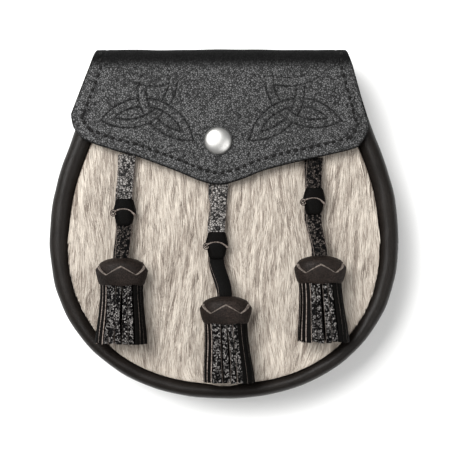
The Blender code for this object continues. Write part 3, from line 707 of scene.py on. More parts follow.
def make_flap(sizes, materials):
    """Rows of the inner face, from the edge up the front, round the fold and down the tail, then its wall."""
    columns, front_rows, bend_rows = 400, 150, 14
    edge = flap_edge(columns + 1)
    border, inward = flap_border(edge)
    left, right = FLAP_TOP_LEFT * HALF_WIDTH, FLAP_TOP_RIGHT * HALF_WIDTH
    across = (edge[:, 0] - edge[0, 0]) / (edge[-1, 0] - edge[0, 0])
    top = left + (right - left) * (across + np.linspace(0, 1, columns + 1)) / 2
    close = np.array([0.0, 0.12, 0.35, 0.7, 1.1]) * MM
    drop = FOLD_Y - edge[:, 1]
    rest = np.linspace(close[-1] / drop, 1, front_rows + 1, axis=1)[:, 1:]
    ups = np.concatenate([close[None, :] / drop[:, None], rest], axis=1)
    x = edge[:, :1] + (top[:, None] - edge[:, :1]) * ups
    y = edge[:, 1:] + drop[:, None] * ups
    z = flap_under(x)
    bend = FLAP_BEND_RADIUS - FLAP_WALL
    high = flap_under(top)
    back_z = float(back_outer(FOLD_Y)) - GAP
    tail_y = FOLD_Y - FLAP_TAIL_LENGTH
    tail_z = float(back_outer(tail_y)) - GAP
    turns = np.linspace(0, math.pi / 2, bend_rows + 1)
    rows = [(FOLD_Y + bend * math.sin(t), high - bend * (1 - math.cos(t))) for t in turns[1:]]
    for share in np.linspace(0, 1, 8)[1:-1]:
        rows.append((FOLD_Y + bend, (high - bend) * (1 - share) + (back_z + bend) * share))
    rows += [(FOLD_Y + bend * math.cos(t), np.full_like(high, back_z + bend * (1 - math.sin(t))))
             for t in turns]
    rows += [(FOLD_Y + (tail_y - FOLD_Y) * share, np.full_like(high, back_z + (tail_z - back_z) * share))
             for share in np.linspace(0, 1, 5)[1:]]
    for k, (row_y, row_z) in enumerate(rows):
        over = math.sin(math.pi / 2 * min(1.0, (k + 1) / bend_rows))
        past = min(1.0, max(0.0, (k + 1 - bend_rows) / 8))
        narrow = 1 - (1 - FLAP_FOLD_NARROWING) * (0.62 * over + 0.38 * past)
        x = np.concatenate([x, (top * narrow)[:, None]], axis=1)
        y = np.concatenate([y, np.full((columns + 1, 1), row_y)], axis=1)
        z = np.concatenate([z, row_z[:, None]], axis=1)
    inner = np.stack([x, y, z], axis=-1)
    normal = np.cross(np.gradient(inner, axis=0), np.gradient(inner, axis=1))
    normal /= np.maximum(np.linalg.norm(normal, axis=-1), 1e-15)[..., None]
    normal[0] = normal[2]
    normal[-1] = normal[-3]
    front = ups.shape[1]
    away = np.minimum(np.abs(x - x[:1]), np.abs(x - x[-1:]))
    away[:, :front] = distance_to(border, x[:, :front], y[:, :front])
    round_edge = 1.2 * MM
    near = np.clip(away / round_edge, 0, 1)
    wall = FLAP_WALL - round_edge + round_edge * np.sqrt(1 - (1 - near) ** 2)
    press = np.zeros_like(x)
    press[:, :front] = pressed_depth(x[:, :front], y[:, :front], sizes)
    seam = np.exp(-((away - sizes.stitch_inset) / (0.75 * MM)) ** 2) * (away < 2 * sizes.stitch_inset)
    groove = 0.22 * MM
    outer = inner + normal * (wall + flap_sway(x, y) - sizes.press_depth * press - groove * seam)[..., None]
    # The marks that darken the flap's colour: the fold, partly its own smoother, darker leather and partly painted
    # shade where it turns from the light; a line along the border, partly the edge's dark burnish and partly a
    # painted shadow; the pressed lines, partly pressed leather and partly painted shade in their grooves; and the
    # seam groove, as painted shade
    fold = ease(np.clip((y - (HALF_HEIGHT - 0.0125)) / 0.0060, 0, 1))
    fold[:, front + bend_rows:] = 1.0
    edge_burnish_and_shadow = np.exp(-(away / (0.9 * MM)) ** 2)
    marks = {"press": np.maximum(np.maximum(0.85 * press, edge_burnish_and_shadow), 0.2 * seam), "fold": fold}
    make_sheet("flap_leather", outer, inner, marks, materials["flap"], ("flap",))
    seam_line = border + inward * sizes.stitch_inset
    seam_top = HALF_HEIGHT - 1.4 * MM
    ends = [(end[0], seam_top) for end in (seam_line[0], seam_line[-1])]
    seam_x, seam_y = evenly(np.concatenate([ends[:1], seam_line, ends[1:]]), 1500).T
    level = flap_outer(seam_x, seam_y)
    slope = (flap_outer(seam_x, seam_y + STEP) - level) / STEP
    lean = (flap_outer(seam_x + STEP, seam_y) - level) / STEP
    ups = np.stack([-lean, -slope, np.ones_like(slope)], axis=1)
    shape = Shape()
    sew(shape, np.column_stack([seam_x, seam_y, level + flap_sway(seam_x, seam_y)]), ups, sizes)
    shape.piece("flap_stitches", [materials["thread"]])


def make_sheet(name, outer, inner, marks, material, nodes, coarse=4):
    """A closed sheet with a fine outer face, and an inner face of only some of its rows and columns."""
    columns, rows = outer.shape[:2]
    number = np.arange(columns * rows).reshape(columns, rows)
    quads = np.stack([number[:-1, :-1], number[1:, :-1], number[1:, 1:], number[:-1, 1:]], axis=-1)
    picks = [np.unique(np.append(np.arange(0, size, coarse), size - 1)) for size in (columns, rows)]
    under = inner[np.ix_(*picks)]
    start = columns * rows
    below = start + np.arange(under.shape[0] * under.shape[1]).reshape(under.shape[:2])
    inner_quads = np.stack([below[:-1, :-1], below[:-1, 1:], below[1:, 1:], below[1:, :-1]], axis=-1)
    walls = []
    for side, line, low, pick in ((0, number[:, 0], below[:, 0], picks[0]),
                                  (1, number[:, -1], below[:, -1], picks[0]),
                                  (1, number[0, :], below[0, :], picks[1]),
                                  (0, number[-1, :], below[-1, :], picks[1])):
        for a, b, first, second in zip(low, low[1:], pick, pick[1:]):
            face = [int(a), int(b)] + [int(k) for k in line[first:second + 1][::-1]]
            walls.append(face if side == 0 else face[::-1])
    shape = Shape()
    points = np.concatenate([outer.reshape(-1, 3), under.reshape(-1, 3)])
    shape.add(points, np.concatenate([quads.reshape(-1, 4), inner_quads.reshape(-1, 4)]), walls)
    values = {mark: np.concatenate([value.ravel(), value[np.ix_(*picks)].ravel()])
              for mark, value in marks.items()}
    return shape.piece(name, [material], nodes, values, sharp=75)


def fur_limits():
    """The hide's outline from the left top round to the right top."""
    line, inward = outline(FUR_TOP_MARGIN, 500)
    return line + inward * (rim_width(inward) + GAP)[:, None]


def tassel_place(tassel):
    """Where a tassel's parts are: heights up the pouch, and its centre line as (height, value) stops."""
    knot_top = tassel["knot_top"] * HALF_HEIGHT
    knot_low = knot_top - KNOT_HEIGHT
    collar_top = tassel["collar_top"] * HALF_HEIGHT
    collar_low = collar_top - COLLAR_HEIGHT
    strap_top = tassel["strap_top"] * HALF_HEIGHT
    xs = {key: tassel[key] * HALF_WIDTH for key in ("strap", "knot", "collar", "hem")}
    lie = float(fur_top(xs["strap"], strap_top)) + GAP + STRAP_THICKNESS / 2
    knot_z = fur_peak(xs["knot"], KNOT_WIDTH / 2, knot_top, knot_low) + GAP + KNOT_DEPTH / 2
    collar_z = fur_peak(xs["collar"], COLLAR_WIDTH / 2, collar_top, collar_low) + GAP + COLLAR_DEPTH / 2
    across = [(strap_top, xs["strap"]), (knot_top, xs["knot"]), (knot_low, xs["knot"]),
              (collar_top, xs["collar"])]
    depth = [(knot_top + KNOT_HEIGHT, lie), (knot_top, knot_z), (knot_low, knot_z), (collar_top, collar_z)]
    return {"name": tassel["name"], "strap_top": strap_top, "knot_top": knot_top, "knot_low": knot_low,
            "collar_top": collar_top, "collar_low": collar_low, "across": across, "depth": depth,
            "collar_z": collar_z, **xs}


def centre_line(place, y):
    """The strap's middle at a level: on the hide, or lifted to the middle of its knot and collar."""
    x = between(place["across"], y)
    lying = fur_peak(x, STRAP_WIDTH / 2, y, y) + GAP + STRAP_THICKNESS / 2
    return x, max(lying, between(place["depth"], y))


def strap_width(place, y):
    """Full width above the knot, narrower in and under it, and narrowest at the collar."""
    stops = [(place["knot_top"] + KNOT_HEIGHT / 2, 1.0), (place["knot_top"], 0.95),
             (place["knot_low"], 0.95), (place["collar_top"], 0.85)]
    return STRAP_WIDTH * between(stops, y)


def hidden_hair(x, y):
    """Where a tassel or the flap lies over the hair, so that no hair is grown there."""
    hidden = y > HALF_HEIGHT - 0.45 * FLAP_DROP
    for tassel in TASSELS:
        place = tassel_place(tassel)
        levels = np.linspace(place["collar_low"] - FRINGE_LENGTH, place["strap_top"], 90)
        middles = [between(place["across"], level) for level in levels]
        middle = np.interp(y, levels, middles)
        down = place["collar_low"] - FRINGE_LENGTH
        half = np.where(y > place["collar_top"], STRAP_WIDTH / 2 - 0.0022, HEAD_WIDTH / 2 - 0.002)
        hidden |= (np.abs(x - middle) < half) & (y > down + 0.006) & (y < place["strap_top"])
    return hidden


def make_fur(sizes, materials):
    edge = fur_limits()
    shares = np.linspace(0, 1, 12)[1:-1, None]
    edge = np.concatenate([edge, edge[-1] + (edge[0] - edge[-1]) * shares])
    rings = []
    spans = [(scale, FUR_THICKNESS) for scale in (0.02, 0.3, 0.6, 0.85, 1.0)]
    spans += [(scale, sizes.pile) for scale in (1.0, 0.985, 0.93, 0.82, 0.66, 0.48, 0.3, 0.15, 0.02)]
    for scale, sunk in spans:
        x, y = edge[:, 0] * scale, WIDEST_Y + (edge[:, 1] - WIDEST_Y) * scale
        rings.append(np.stack([x, y, fur_top(x, y) - sunk], axis=1))
    shape = Shape()
    shape.loft(rings)
    shape.piece("hide_skin", [materials["skin"]], ("fur_panel",))
    draw = np.random.default_rng(11)
    limits = fur_limits()
    right = limits[len(limits) // 2:]
    spacing = sizes.hair_spacing
    grid_x, grid_y = np.meshgrid(np.arange(-HALF_WIDTH, HALF_WIDTH, spacing),
                                 np.arange(limits[:, 1].min(), limits[:, 1].max(), spacing))
    x = grid_x.ravel() + draw.uniform(-0.5, 0.5, grid_x.size) * spacing
    y = grid_y.ravel() + draw.uniform(-0.5, 0.5, grid_x.size) * spacing
    inside = np.abs(x) < np.interp(y, right[:, 1], right[:, 0]) - 0.2 * MM
    inside &= (y > right[0, 1]) & ~hidden_hair(x, y)
    x, y = x[inside], y[inside]
    count = len(x)
    flow = math.radians(-90) + 0.15 * ripple(x / 0.055, y / 0.07, 3) + 0.05 * ripple(x / 0.012, y / 0.03, 4)
    flow += draw.normal(0, 0.055, count)
    length = sizes.hair_length * draw.uniform(0.55, 1.2, count)
    clump = ripple(x / 0.0044, y / 0.018, 8) * 0.85 + ripple(x / 0.0019, y / 0.020, 9) * 0.65
    patch = ripple(x / 0.04, y / 0.05, 10)
    tone = np.clip(0.46 + 0.36 * clump + 0.12 * patch + draw.normal(0, 0.16, count), 0, 1)
    way = np.stack([np.cos(flow), np.sin(flow)], axis=1)
    turned = np.stack([-way[:, 1], way[:, 0]], axis=1)
    root = np.stack([x, y], axis=1)
    tip = root + way * length[:, None]
    foot = np.interp(tip[:, 0], limits[100:-100, 0], limits[100:-100, 1])
    over = np.clip((foot - 0.0009 - tip[:, 1]) / np.maximum(length, 1e-6), 0, 0.9)
    over = np.where(np.abs(tip[:, 0]) < HALF_WIDTH * 0.9, over, np.clip(over, 0, 0.6))
    length = length * (1 - over)
    tip = root + way * length[:, None]
    half_at = np.interp(tip[:, 1], right[:, 1], right[:, 0]) + 0.0007
    tip[:, 0] = np.clip(tip[:, 0], -half_at, half_at)
    bend = draw.normal(0, 0.02, count) * length
    middle = root + (tip - root) * 0.45 + turned * bend[:, None]
    lift = draw.uniform(0, 1, count)
    levels = np.stack([fur_top(x, y) - sizes.pile - 0.1 * MM,
                       fur_top(middle[:, 0], middle[:, 1]) - (0.65 - 0.25 * lift) * MM,
                       fur_top(tip[:, 0], tip[:, 1]) - (0.42 - 0.30 * lift) * MM], axis=1)
    wide = sizes.hair_width * draw.uniform(0.7, 1.3, count)
    thick = 0.07 * MM
    points = np.empty((count, 7, 3))
    for ring, (place, share) in enumerate(((root, 1.0), (middle, 0.9))):
        for corner, (aside, up) in enumerate(((0.5, 0.0), (-0.5, 0.0), (0.0, 1.0))):
            points[:, 3 * ring + corner, :2] = place + turned * (wide * aside * share)[:, None]
            points[:, 3 * ring + corner, 2] = levels[:, ring] + thick * up
    points[:, 6, :2] = tip
    points[:, 6, 2] = levels[:, 2]
    normals = np.zeros((count, 7, 3))
    normals[:, :, 2] = 1.0
    for corner, aside in ((0, 0.4), (1, -0.4), (3, 0.4), (4, -0.4)):
        normals[:, corner, :2] = turned * aside
    normals /= np.linalg.norm(normals, axis=2, keepdims=True)
    quads = np.array([[0, 3, 4, 1], [1, 4, 5, 2], [2, 5, 3, 0]])
    tips = np.array([[3, 6, 4], [4, 6, 5], [5, 6, 3], [0, 1, 2]])
    along = np.array([0, 0, 0, 0.5, 0.5, 0.5, 1.0])
    thirds = np.quantile(x, [0, 1 / 3, 2 / 3, 1])
    thirds[-1] += 1
    for name, low, high in zip(("left", "middle", "right"), thirds, thirds[1:]):
        chosen = np.flatnonzero((x >= low) & (x < high))
        starts = (np.arange(len(chosen)) * 7)[:, None, None]
        faces = (starts + quads).reshape(-1, 4).tolist() + (starts + tips).reshape(-1, 3).tolist()
        marks = {"tone": np.repeat(tone[chosen], 7), "along": np.tile(along, len(chosen))}
        made = new_piece("hair_" + name, points[chosen].reshape(-1, 3), faces, [materials["hair"]], marks)
        made.data.normals_split_custom_set_from_vertices(normals[chosen].reshape(-1, 3).tolist())


def make_rim(sizes, materials):
    sides, stations = 40, 460
    line, inward = outline(RIM_TOP_MARGIN, stations)
    wide = rim_width(inward)[:, None]
    turn = full_turn(sides)[None, :]
    run = np.arange(stations)[:, None] / stations
    crease = ripple(run * 14, turn * 0.3, 21) * 0.16 + ripple(run * 45, turn * 0.35, 22) * 0.03
    ends = np.minimum(1, np.minimum(np.arange(stations), np.arange(stations)[::-1]) / 4 + 0.55)[:, None]
    grow = ends * (1 + crease * MM / (RIM_HEIGHT / 2))
    inset = wide / 2 * (1 + np.cos(turn) * grow)
    places = line[:, None, :] + inward[:, None, :] * inset[..., None]
    height = RIM_SEAT + RIM_HEIGHT / 2 * (1 + np.sin(turn) * grow)
    shape = Shape()
    shape.loft(np.concatenate([places, height[..., None]], axis=-1))
    rim = shape.piece("rim_leather", [materials["rim"]], ("rim_roll",))


def make_gusset_and_back(sizes, materials):
    stations = 300
    line, inward = outline(GUSSET_TOP_MARGIN, stations)
    run = np.arange(stations) / stations
    low = np.array([back_inner(y) + GAP for y in line[:, 1] + inward[:, 1] * GUSSET_INSET])

    def wall_line(share, out):
        """A line along the gusset at this share of its height and this far out of its middle."""
        fold = 0.7 * MM * ripple(run * 34, np.full_like(run, share * 0.8), 31) * math.sin(math.pi * share)
        inset = GUSSET_INSET + GUSSET_TUCK * math.sin(math.pi * share) ** 2 + fold - out
        return np.column_stack([line + inward * inset[:, None], low + (RIM_SEAT - GAP - low) * share])

    shares = np.linspace(0, 1, 11)
    rings = []
    for side, order in ((1, shares), (-1, shares[::-1])):
        for share in order:
            eased = 0.35 * MM * (share in (0.0, 1.0))
            rings.append(wall_line(share, side * (GUSSET_WALL / 2 - eased)))
    shape = Shape()
    shape.loft(np.stack(rings, axis=1))
    shape.piece("gusset_leather", [materials["gusset"]], ("gusset",))
    seams = Shape()
    for share in (0.10, 0.88):
        sew(seams, wall_line(share, GUSSET_WALL / 2), np.column_stack([-inward, np.zeros(stations)]), sizes)
    line, inward = outline(BACK_TOP_MARGIN, 360)
    shape = Shape()
    rings = []
    # The rounded edge of the back, in mm: in from the outline, up from the outer face
    rounded = ((1.0, 0.0), (0.35, 0.1), (0.08, 0.3), (0.0, 0.7), (0.0, 1.8), (0.08, 2.2), (0.35, 2.4), (1.0, 2.5))
    for inset, level in rounded:
        edge = line + inward * (BACK_INSET + inset * MM)
        edge[:, 1] = np.minimum(edge[:, 1], HALF_HEIGHT - BACK_TOP_MARGIN - inset * MM)
        top = edge[-1] + (edge[0] - edge[-1]) * np.linspace(0, 1, 60)[1:-1, None]
        edge = np.concatenate([edge, top])
        rings.append(np.column_stack([edge, back_outer(edge[:, 1]) + level * MM * math.hypot(1, BACK_SLOPE)]))
    shape.loft(rings)
    shape.piece("back_leather", [materials["back"]], ("back_panel",))
    seam = line + inward * (BACK_INSET + 0.0042)
    path = np.column_stack([seam, back_outer(seam[:, 1]) + 0.68 * MM])
    sew(seams, path, np.tile([0, BACK_SLOPE, -1.0], (len(seam), 1)), sizes)
    seams.piece("body_stitches", [materials["thread"]])


def make_belt_loops(sizes, materials):
    half = LOOP_SPAN / 2
    wall = LOOP_WALL
    ends = half + LOOP_RAMP + LOOP_FOOT
    foot = np.linspace(half + LOOP_RAMP + 0.5 * MM, ends - 0.5 * MM, 8)
    ramp = np.linspace(half, half + LOOP_RAMP, 9)
    span = np.linspace(-half + 0.8 * MM, half - 0.8 * MM, 12)
    levels = LOOP_Y + np.concatenate([[-ends], -foot[::-1], -ramp[::-1], span, ramp, foot, [ends]])
    away = np.clip((np.abs(levels - LOOP_Y) - half) / LOOP_RAMP, 0, 1)
    lying = back_outer(levels) - GAP - wall / 2
    middle = wall / 2 + (lying - wall / 2) * ease(away)
    slope = np.gradient(middle, levels)
    for name, centre in (("left", -LOOP_X), ("right", LOOP_X)):
        shape = Shape()
        rings = []
        for k, (y, z, lean) in enumerate(zip(levels, middle, slope)):
            at_end = k in (0, len(levels) - 1)
            shrink = 0.35 * MM if at_end else 0.0
            ring = section(LOOP_WIDTH / 2 - shrink, wall / 2 - shrink, 0.7 * MM - shrink, 3)
            tall = 1 / math.hypot(1, lean) if abs(lean) > 0.2 else 1.0
            rings.append([(centre + px, y - pz * lean * tall, z + pz * tall) for px, pz in ring])
        shape.loft(rings)
        shape.piece("loop_leather_" + name, [materials["loop"]], ("belt_loop_" + name,))
        seams = Shape()
        for side in (-1, 1):
            low, high = sorted((LOOP_Y + side * (half + LOOP_RAMP + 0.0012), LOOP_Y + side * (ends - 0.0015)))
            reach = LOOP_WIDTH / 2 - 0.0025
            corners = [(-reach, low), (reach, low), (reach, high), (-reach, high), (-reach, low)]
            path = [(centre + px, py, back_outer(py) - GAP - wall + 0.5 * MM) for px, py in corners]
            path = evenly(path, 200)
            sew(seams, path, np.tile([0, BACK_SLOPE, -1.0], (200, 1)), sizes)
        seams.piece("loop_stitches_" + name, [materials["thread"]])


def make_press_stud(sizes, materials):
    """The cap is turned from a disc: each step is extruded, then drawn in or out."""
    eased = 0.4 * MM
    under = float(flap_under(SNAP_X))
    seat = under + FLAP_WALL + GAP
    socket = under - GAP
    low = socket - SNAP_SOCKET_HEIGHT
    profile = [(SNAP_BORE_RADIUS, low), (SNAP_BORE_RADIUS + eased / 2, low),
               (SNAP_SOCKET_RADIUS - eased, low), (SNAP_SOCKET_RADIUS, low + eased),
               (SNAP_SOCKET_RADIUS, socket - eased), (SNAP_SOCKET_RADIUS - eased, socket),
               (SNAP_SHANK_RADIUS, socket), (SNAP_SHANK_RADIUS, seat),
               (SNAP_CAP_RADIUS - eased, seat), (SNAP_CAP_RADIUS - eased / 4, seat + eased / 4),
               (SNAP_CAP_RADIUS, seat + eased)]
    for k in range(1, 15):
        turn = math.radians(90) * k / 15
        rise = eased + (SNAP_CAP_HEIGHT - eased) * math.sin(turn)
        profile.append((SNAP_CAP_RADIUS * math.cos(turn) ** 0.9, seat + rise))
    bpy.ops.object.select_all(action="DESELECT")
    radius, level = SNAP_BORE_RADIUS, socket - SNAP_CEILING
    bpy.ops.mesh.primitive_circle_add(vertices=72, radius=radius, fill_type="NGON",
                                      location=(SNAP_X, SNAP_Y, level))
    cap = bpy.context.object
    cap.name = "press_stud_cap"
    bpy.ops.object.mode_set(mode="EDIT")
    for new_radius, new_level in profile:
        bpy.ops.mesh.extrude_region_move(TRANSFORM_OT_translate={"value": (0, 0, new_level - level)})
        scale = new_radius / radius
        bpy.ops.transform.resize(value=(scale, scale, 1), center_override=(SNAP_X, SNAP_Y, new_level))
        radius, level = new_radius, new_level
    bpy.ops.mesh.select_all(action="SELECT")
    bpy.ops.mesh.normals_make_consistent(inside=False)
    bpy.ops.object.mode_set(mode="OBJECT")
    bpy.ops.object.transform_apply(location=True, rotation=True, scale=True)
    bpy.ops.object.shade_smooth_by_angle(angle=math.radians(35))
    cap.data.materials.append(materials["nickel"])
    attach(cap, "root")
    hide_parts("snap_cap")
    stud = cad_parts["snap_stud"]
    stud.data.materials.clear()
    stud.data.materials.append(materials["stud"])


# Tassels


def make_hanger(place, materials):
    """Two plies of strap leather, the back one a little wider and set to one side, duller under the knot."""
    levels = np.linspace(place["strap_top"], place["collar_top"] - COLLAR_HEIGHT * 0.06, 70)
    stub = 2.3 * MM if place["name"] == "centre" else 0.0
    shape = Shape()
    for front, share in ((True, 0.90), (False, 1.0)):
        half_z = STRAP_THICKNESS / 4 - 0.04 * MM
        rings = []
        for y in levels:
            x, z = centre_line(place, y)
            half_x = strap_width(place, y) / 2 * share
            sway = 0.25 * MM * math.sin(y * 230 + place["strap"] * 70 + 2 * front)
            if not front:
                sway -= 0.45 * MM
            side = stub * ease(min(1.0, max(0.0, (y - place["strap_top"] + 0.012) / 0.006))) * (not front)
            ring = section(half_x - side / 2, half_z, 0.55 * MM, 2)
            dome = 0.12 * MM * (1 - (ring[:, 0] / half_x) ** 2) * (ring[:, 1] > 0)
            lift = STRAP_THICKNESS / 4 * (1 if front else -1)
            rings.append(np.column_stack([x + sway - side + ring[:, 0], np.full(len(ring), y),
                                          z + lift + ring[:, 1] + dome]))
        slots = side_slots(section(STRAP_WIDTH / 2, half_z, 0.55 * MM, 2), 0, 1, 1)
        slots = np.tile(slots, (len(levels) - 1, 1))
        below = (levels[1:, None] < place["knot_top"] - KNOT_HEIGHT / 2) & (slots == 0)
        shape.loft(rings, slots=np.where(below, 2, slots), end_slot=1)
    name = place["name"]
    # The right tassel's upper strap takes the darker dull goat, as painted shade where that strap lies at another
    # angle to the light
    upper = {"left": "strap", "centre": "strap", "right": "dull"}[name]
    lower = {"left": "dull", "centre": "knot", "right": "dull"}[name]
    shape.piece("strap_leather_" + name, [materials[upper], materials["edge"], materials[lower]],
                ("hanger_" + name,))


def make_knot(place, materials):
    """The wrap round the strap: an upper turn with a raw lower edge, a tighter one under it, a curled end."""
    sides = 48
    turn = full_turn(sides)
    c, s = np.cos(turn), np.sin(turn)
    squared = np.stack([np.sign(c) * np.abs(c) ** 0.7, np.sign(s) * np.abs(s) ** 0.7], axis=1)
    shape = Shape()
    turns = (
        {"top": 0.00, "low": 0.50, "arch": 0.10, "lean": 0.05,
         "wide": ((0.0, 0.68), (0.3, 0.80), (0.75, 0.93), (1.0, 0.97))},
        {"top": 0.34, "low": 1.00, "arch": 0.03, "lean": -0.05,
         "wide": ((0.0, 0.80), (0.3, 0.82), (0.7, 0.72), (1.0, 0.58))},
    )
    for number, row in enumerate(turns):
        outer, inner = [], []
        for share in (0.0, 0.04, 0.12, 0.25, 0.4, 0.55, 0.7, 0.84, 0.90, 1.0):
            down = row["top"] + (row["low"] - row["top"]) * share
            wave = (row["arch"] * (1 - 2 * np.abs(c) ** 1.5) - row["lean"] * c) * share
            y = place["knot_top"] - KNOT_HEIGHT * np.clip(down - wave * (1 if number == 0 else 0.5), 0, 1.0)
            x, z = centre_line(place, place["knot_top"] - KNOT_HEIGHT * down)
            wide = KNOT_WIDTH / 2 * np.interp(share, *zip(*row["wide"]))
            deep = KNOT_DEPTH / 2 * (0.97 - 0.07 * number - 0.12 * (share - 0.6) ** 2)
            rounding = 0.45 * MM * max(0.0, 1 - min(share, 1 - share) / 0.07)
            crease = 1 + 0.025 * np.sin(3 * turn + number + place["knot"] * 300)
            crease += 0.02 * np.sin(7 * turn + down * 9)
            outer.append(np.stack([x + (wide - rounding) * squared[:, 0] * crease, y,
                                   z + (deep - rounding) * squared[:, 1] * crease], axis=1))
            inner.append(np.stack([x + (wide - 1.3 * MM) * squared[:, 0] * crease, y,
                                   z + (deep - 1.3 * MM) * squared[:, 1]], axis=1))
        rings = outer + inner[::-1]
        slots = np.zeros((len(rings), sides), int)
        if number == 0:
            slots[8:10] = 1
        shape.loft(rings, slots=slots, joined=True)
    x, z = centre_line(place, place["knot_top"] - 0.5 * KNOT_HEIGHT)
    middle = np.array([x - KNOT_WIDTH * 0.43, place["knot_top"] - 0.54 * KNOT_HEIGHT, z + 0.22 * KNOT_DEPTH])
    rings = []
    for share in np.linspace(0, 1, 18):
        angle = math.radians(70 + 290 * share)
        out = np.array([math.cos(angle), math.sin(angle), 0.15])
        radius = 1.6 * MM * (1 - 0.4 * share)
        centre = middle + out * radius
        rings.append([centre + 0.62 * MM * (out * math.cos(t) + np.array([0, 0, 1.9]) * math.sin(t))
                      for t in full_turn(10)])
    slots = np.zeros((len(rings) - 1, 10), int)
    slots[:, 2] = 1
    shape.loft(rings, slots=slots, end_slot=1)
    name = place["name"]
    shape.piece("thong_leather_" + name, [materials["knot"], materials["edge"]],
                ("knot_" + name,))


def collar_share(down):
    return np.interp(down, [row["down"] for row in COLLAR_PROFILE], [row["outer"] for row in COLLAR_PROFILE])


def make_collar(place, materials):
    """A domed inner turn of leather, and a pointed band over its lower half with a raw upper edge."""
    sides = 150
    turn = full_turn(sides)
    phase = (turn - math.pi / 2) * COLLAR_BIGHTS / (2 * math.pi)
    zigzag = 2 * np.abs(phase - np.round(phase))
    c, s = np.cos(turn), np.sin(turn)
    shape = Shape()

    def ring(down, sunk, puff=0.0):
        grow = collar_share(down) * (1 + puff * (zigzag - 0.5))
        return np.stack([place["collar"] + (COLLAR_WIDTH / 2 * grow - sunk) * c,
                         np.broadcast_to(place["collar_top"] - COLLAR_HEIGHT * down, turn.shape),
                         place["collar_z"] + (COLLAR_DEPTH / 2 * grow - sunk) * s], axis=1)

    outer, inner = [], []
    for down in (0.0, 0.02, 0.05, 0.09, 0.15, 0.23, 0.33, 0.45, 0.58, 0.72, 0.84):
        settle = 1.0 * MM * min(1.0, down / 0.3)
        outer.append(ring(np.full(sides, down), settle, 0.035 * min(1.0, down / 0.2)))
        inner.append(ring(np.full(sides, down), settle + 1.2 * MM))
    shape.loft(outer + inner[::-1], joined=True)
    top = 0.26 + 0.32 * (0.85 * zigzag + 0.15 * ease(zigzag))
    low = 0.955 + 0.045 * (1 - zigzag)
    outer, inner = [], []
    for share in (0.0, 0.08, 0.16, 0.3, 0.5, 0.7, 0.88, 1.0):
        down = top + (low - top) * share
        chamfer = 0.45 * MM * max(0.0, 1 - share / 0.08) + 0.35 * MM * max(0.0, (share - 0.88) / 0.12)
        outer.append(ring(down, chamfer - 0.1 * MM, 0.02))
        inner.append(ring(down, 1.35 * MM, 0.02))
    rings = outer + inner[::-1]
    slots = np.zeros((len(rings), sides), int)
    slots[[0, -1]] = 1
    shape.loft(rings, slots=slots, joined=True)
    name = place["name"]
    shape.piece("collar_leather_" + name, [materials["collar"], materials["waxed_edge"]],
                ("collar_" + name,), sharp=35)


def make_fringe(place, sizes, materials, seed):
    """Flat strips cut side by side, in four turns, one inside the other, flaring to the hem."""
    draw = np.random.default_rng(seed)
    shape = Shape()
    half = sizes.strip_width / 2, sizes.strip_thickness / 2
    flat = section(*half, 0.28 * MM, 1)
    slots = side_slots(flat, 0, 1, 1)
    # Only the outer strips that face the front take the glazed goat with its painted glints; the others take the
    # black thong leather, as painted shade on the strips that turn from the light, with one raw edge each
    glint_slots, shaded_slots = slots.copy(), np.full_like(slots, 2)
    glint_slots[[0, 2]] = 0
    shaded_slots[0] = 1
    top_width = HEAD_WIDTH + 1.6 * MM
    turns = ({"count": 23, "inset": 0.0, "start": 0.07}, {"count": 15, "inset": 0.0021, "start": 0.2},
             {"count": 10, "inset": 0.0043, "start": 0.0}, {"count": 4, "inset": 0.0066, "start": 0.1})
    for row in turns:
        for k in range(row["count"]):
            angle = 2 * math.pi * (k + row["start"]) / row["count"] + draw.normal(0, 0.02)
            length = FRINGE_LENGTH * draw.uniform(0.955, 1.0)
            twist = draw.normal(0, 0.14)
            bow = draw.normal(0, 0.35, 2) * MM
            rings = []
            for share in np.linspace(-0.08, 1, 13):
                spread = ease(max(0.0, share))
                reach_x = (top_width + (FRINGE_WIDTH - top_width) * spread) / 2 - row["inset"] - half[1]
                reach_z = (HEAD_DEPTH + (FRINGE_DEPTH - HEAD_DEPTH) * spread) / 2 - row["inset"] - half[1]
                reach_z = max(0.2 * MM, reach_z)
                middle = place["collar"] + (place["hem"] - place["collar"]) * share
                out = np.array([math.cos(angle) / reach_x, math.sin(angle) / reach_z])
                out /= np.linalg.norm(out)
                tilt = twist * share
                out = np.array([out[0] * math.cos(tilt) - out[1] * math.sin(tilt),
                                out[0] * math.sin(tilt) + out[1] * math.cos(tilt)])
                aside = np.array([out[1], -out[0]])
                wave = math.sin(math.pi * max(0.0, share))
                centre = np.array([middle + reach_x * math.cos(angle),
                                   place["collar_z"] + reach_z * math.sin(angle)])
                centre = centre + aside * bow[0] * wave - out * abs(bow[1]) * wave
                wide = 1 + 0.22 * spread
                places = centre + flat[:, :1] * wide * aside + flat[:, 1:] * out
                level = place["collar_low"] - length * share
                rings.append(np.column_stack([places[:, 0], np.full(len(flat), level), places[:, 1]]))
            in_front = row["inset"] == 0 and math.sin(angle) > 0.8
            shape.loft(rings, slots=glint_slots if in_front else shaded_slots, end_slot=1)
    name = place["name"]
    shape.piece("fringe_leather_" + name, [materials["fringe"], materials["edge"], materials["knot"]],
                ("fringe_" + name,), sharp=30)


def make_tassels(sizes, materials):
    for number, tassel in enumerate(TASSELS):
        place = tassel_place(tassel)
        for make in (make_hanger, make_knot, make_collar):
            make(place, materials)
        make_fringe(place, sizes, materials, 40 + number)


# Stage


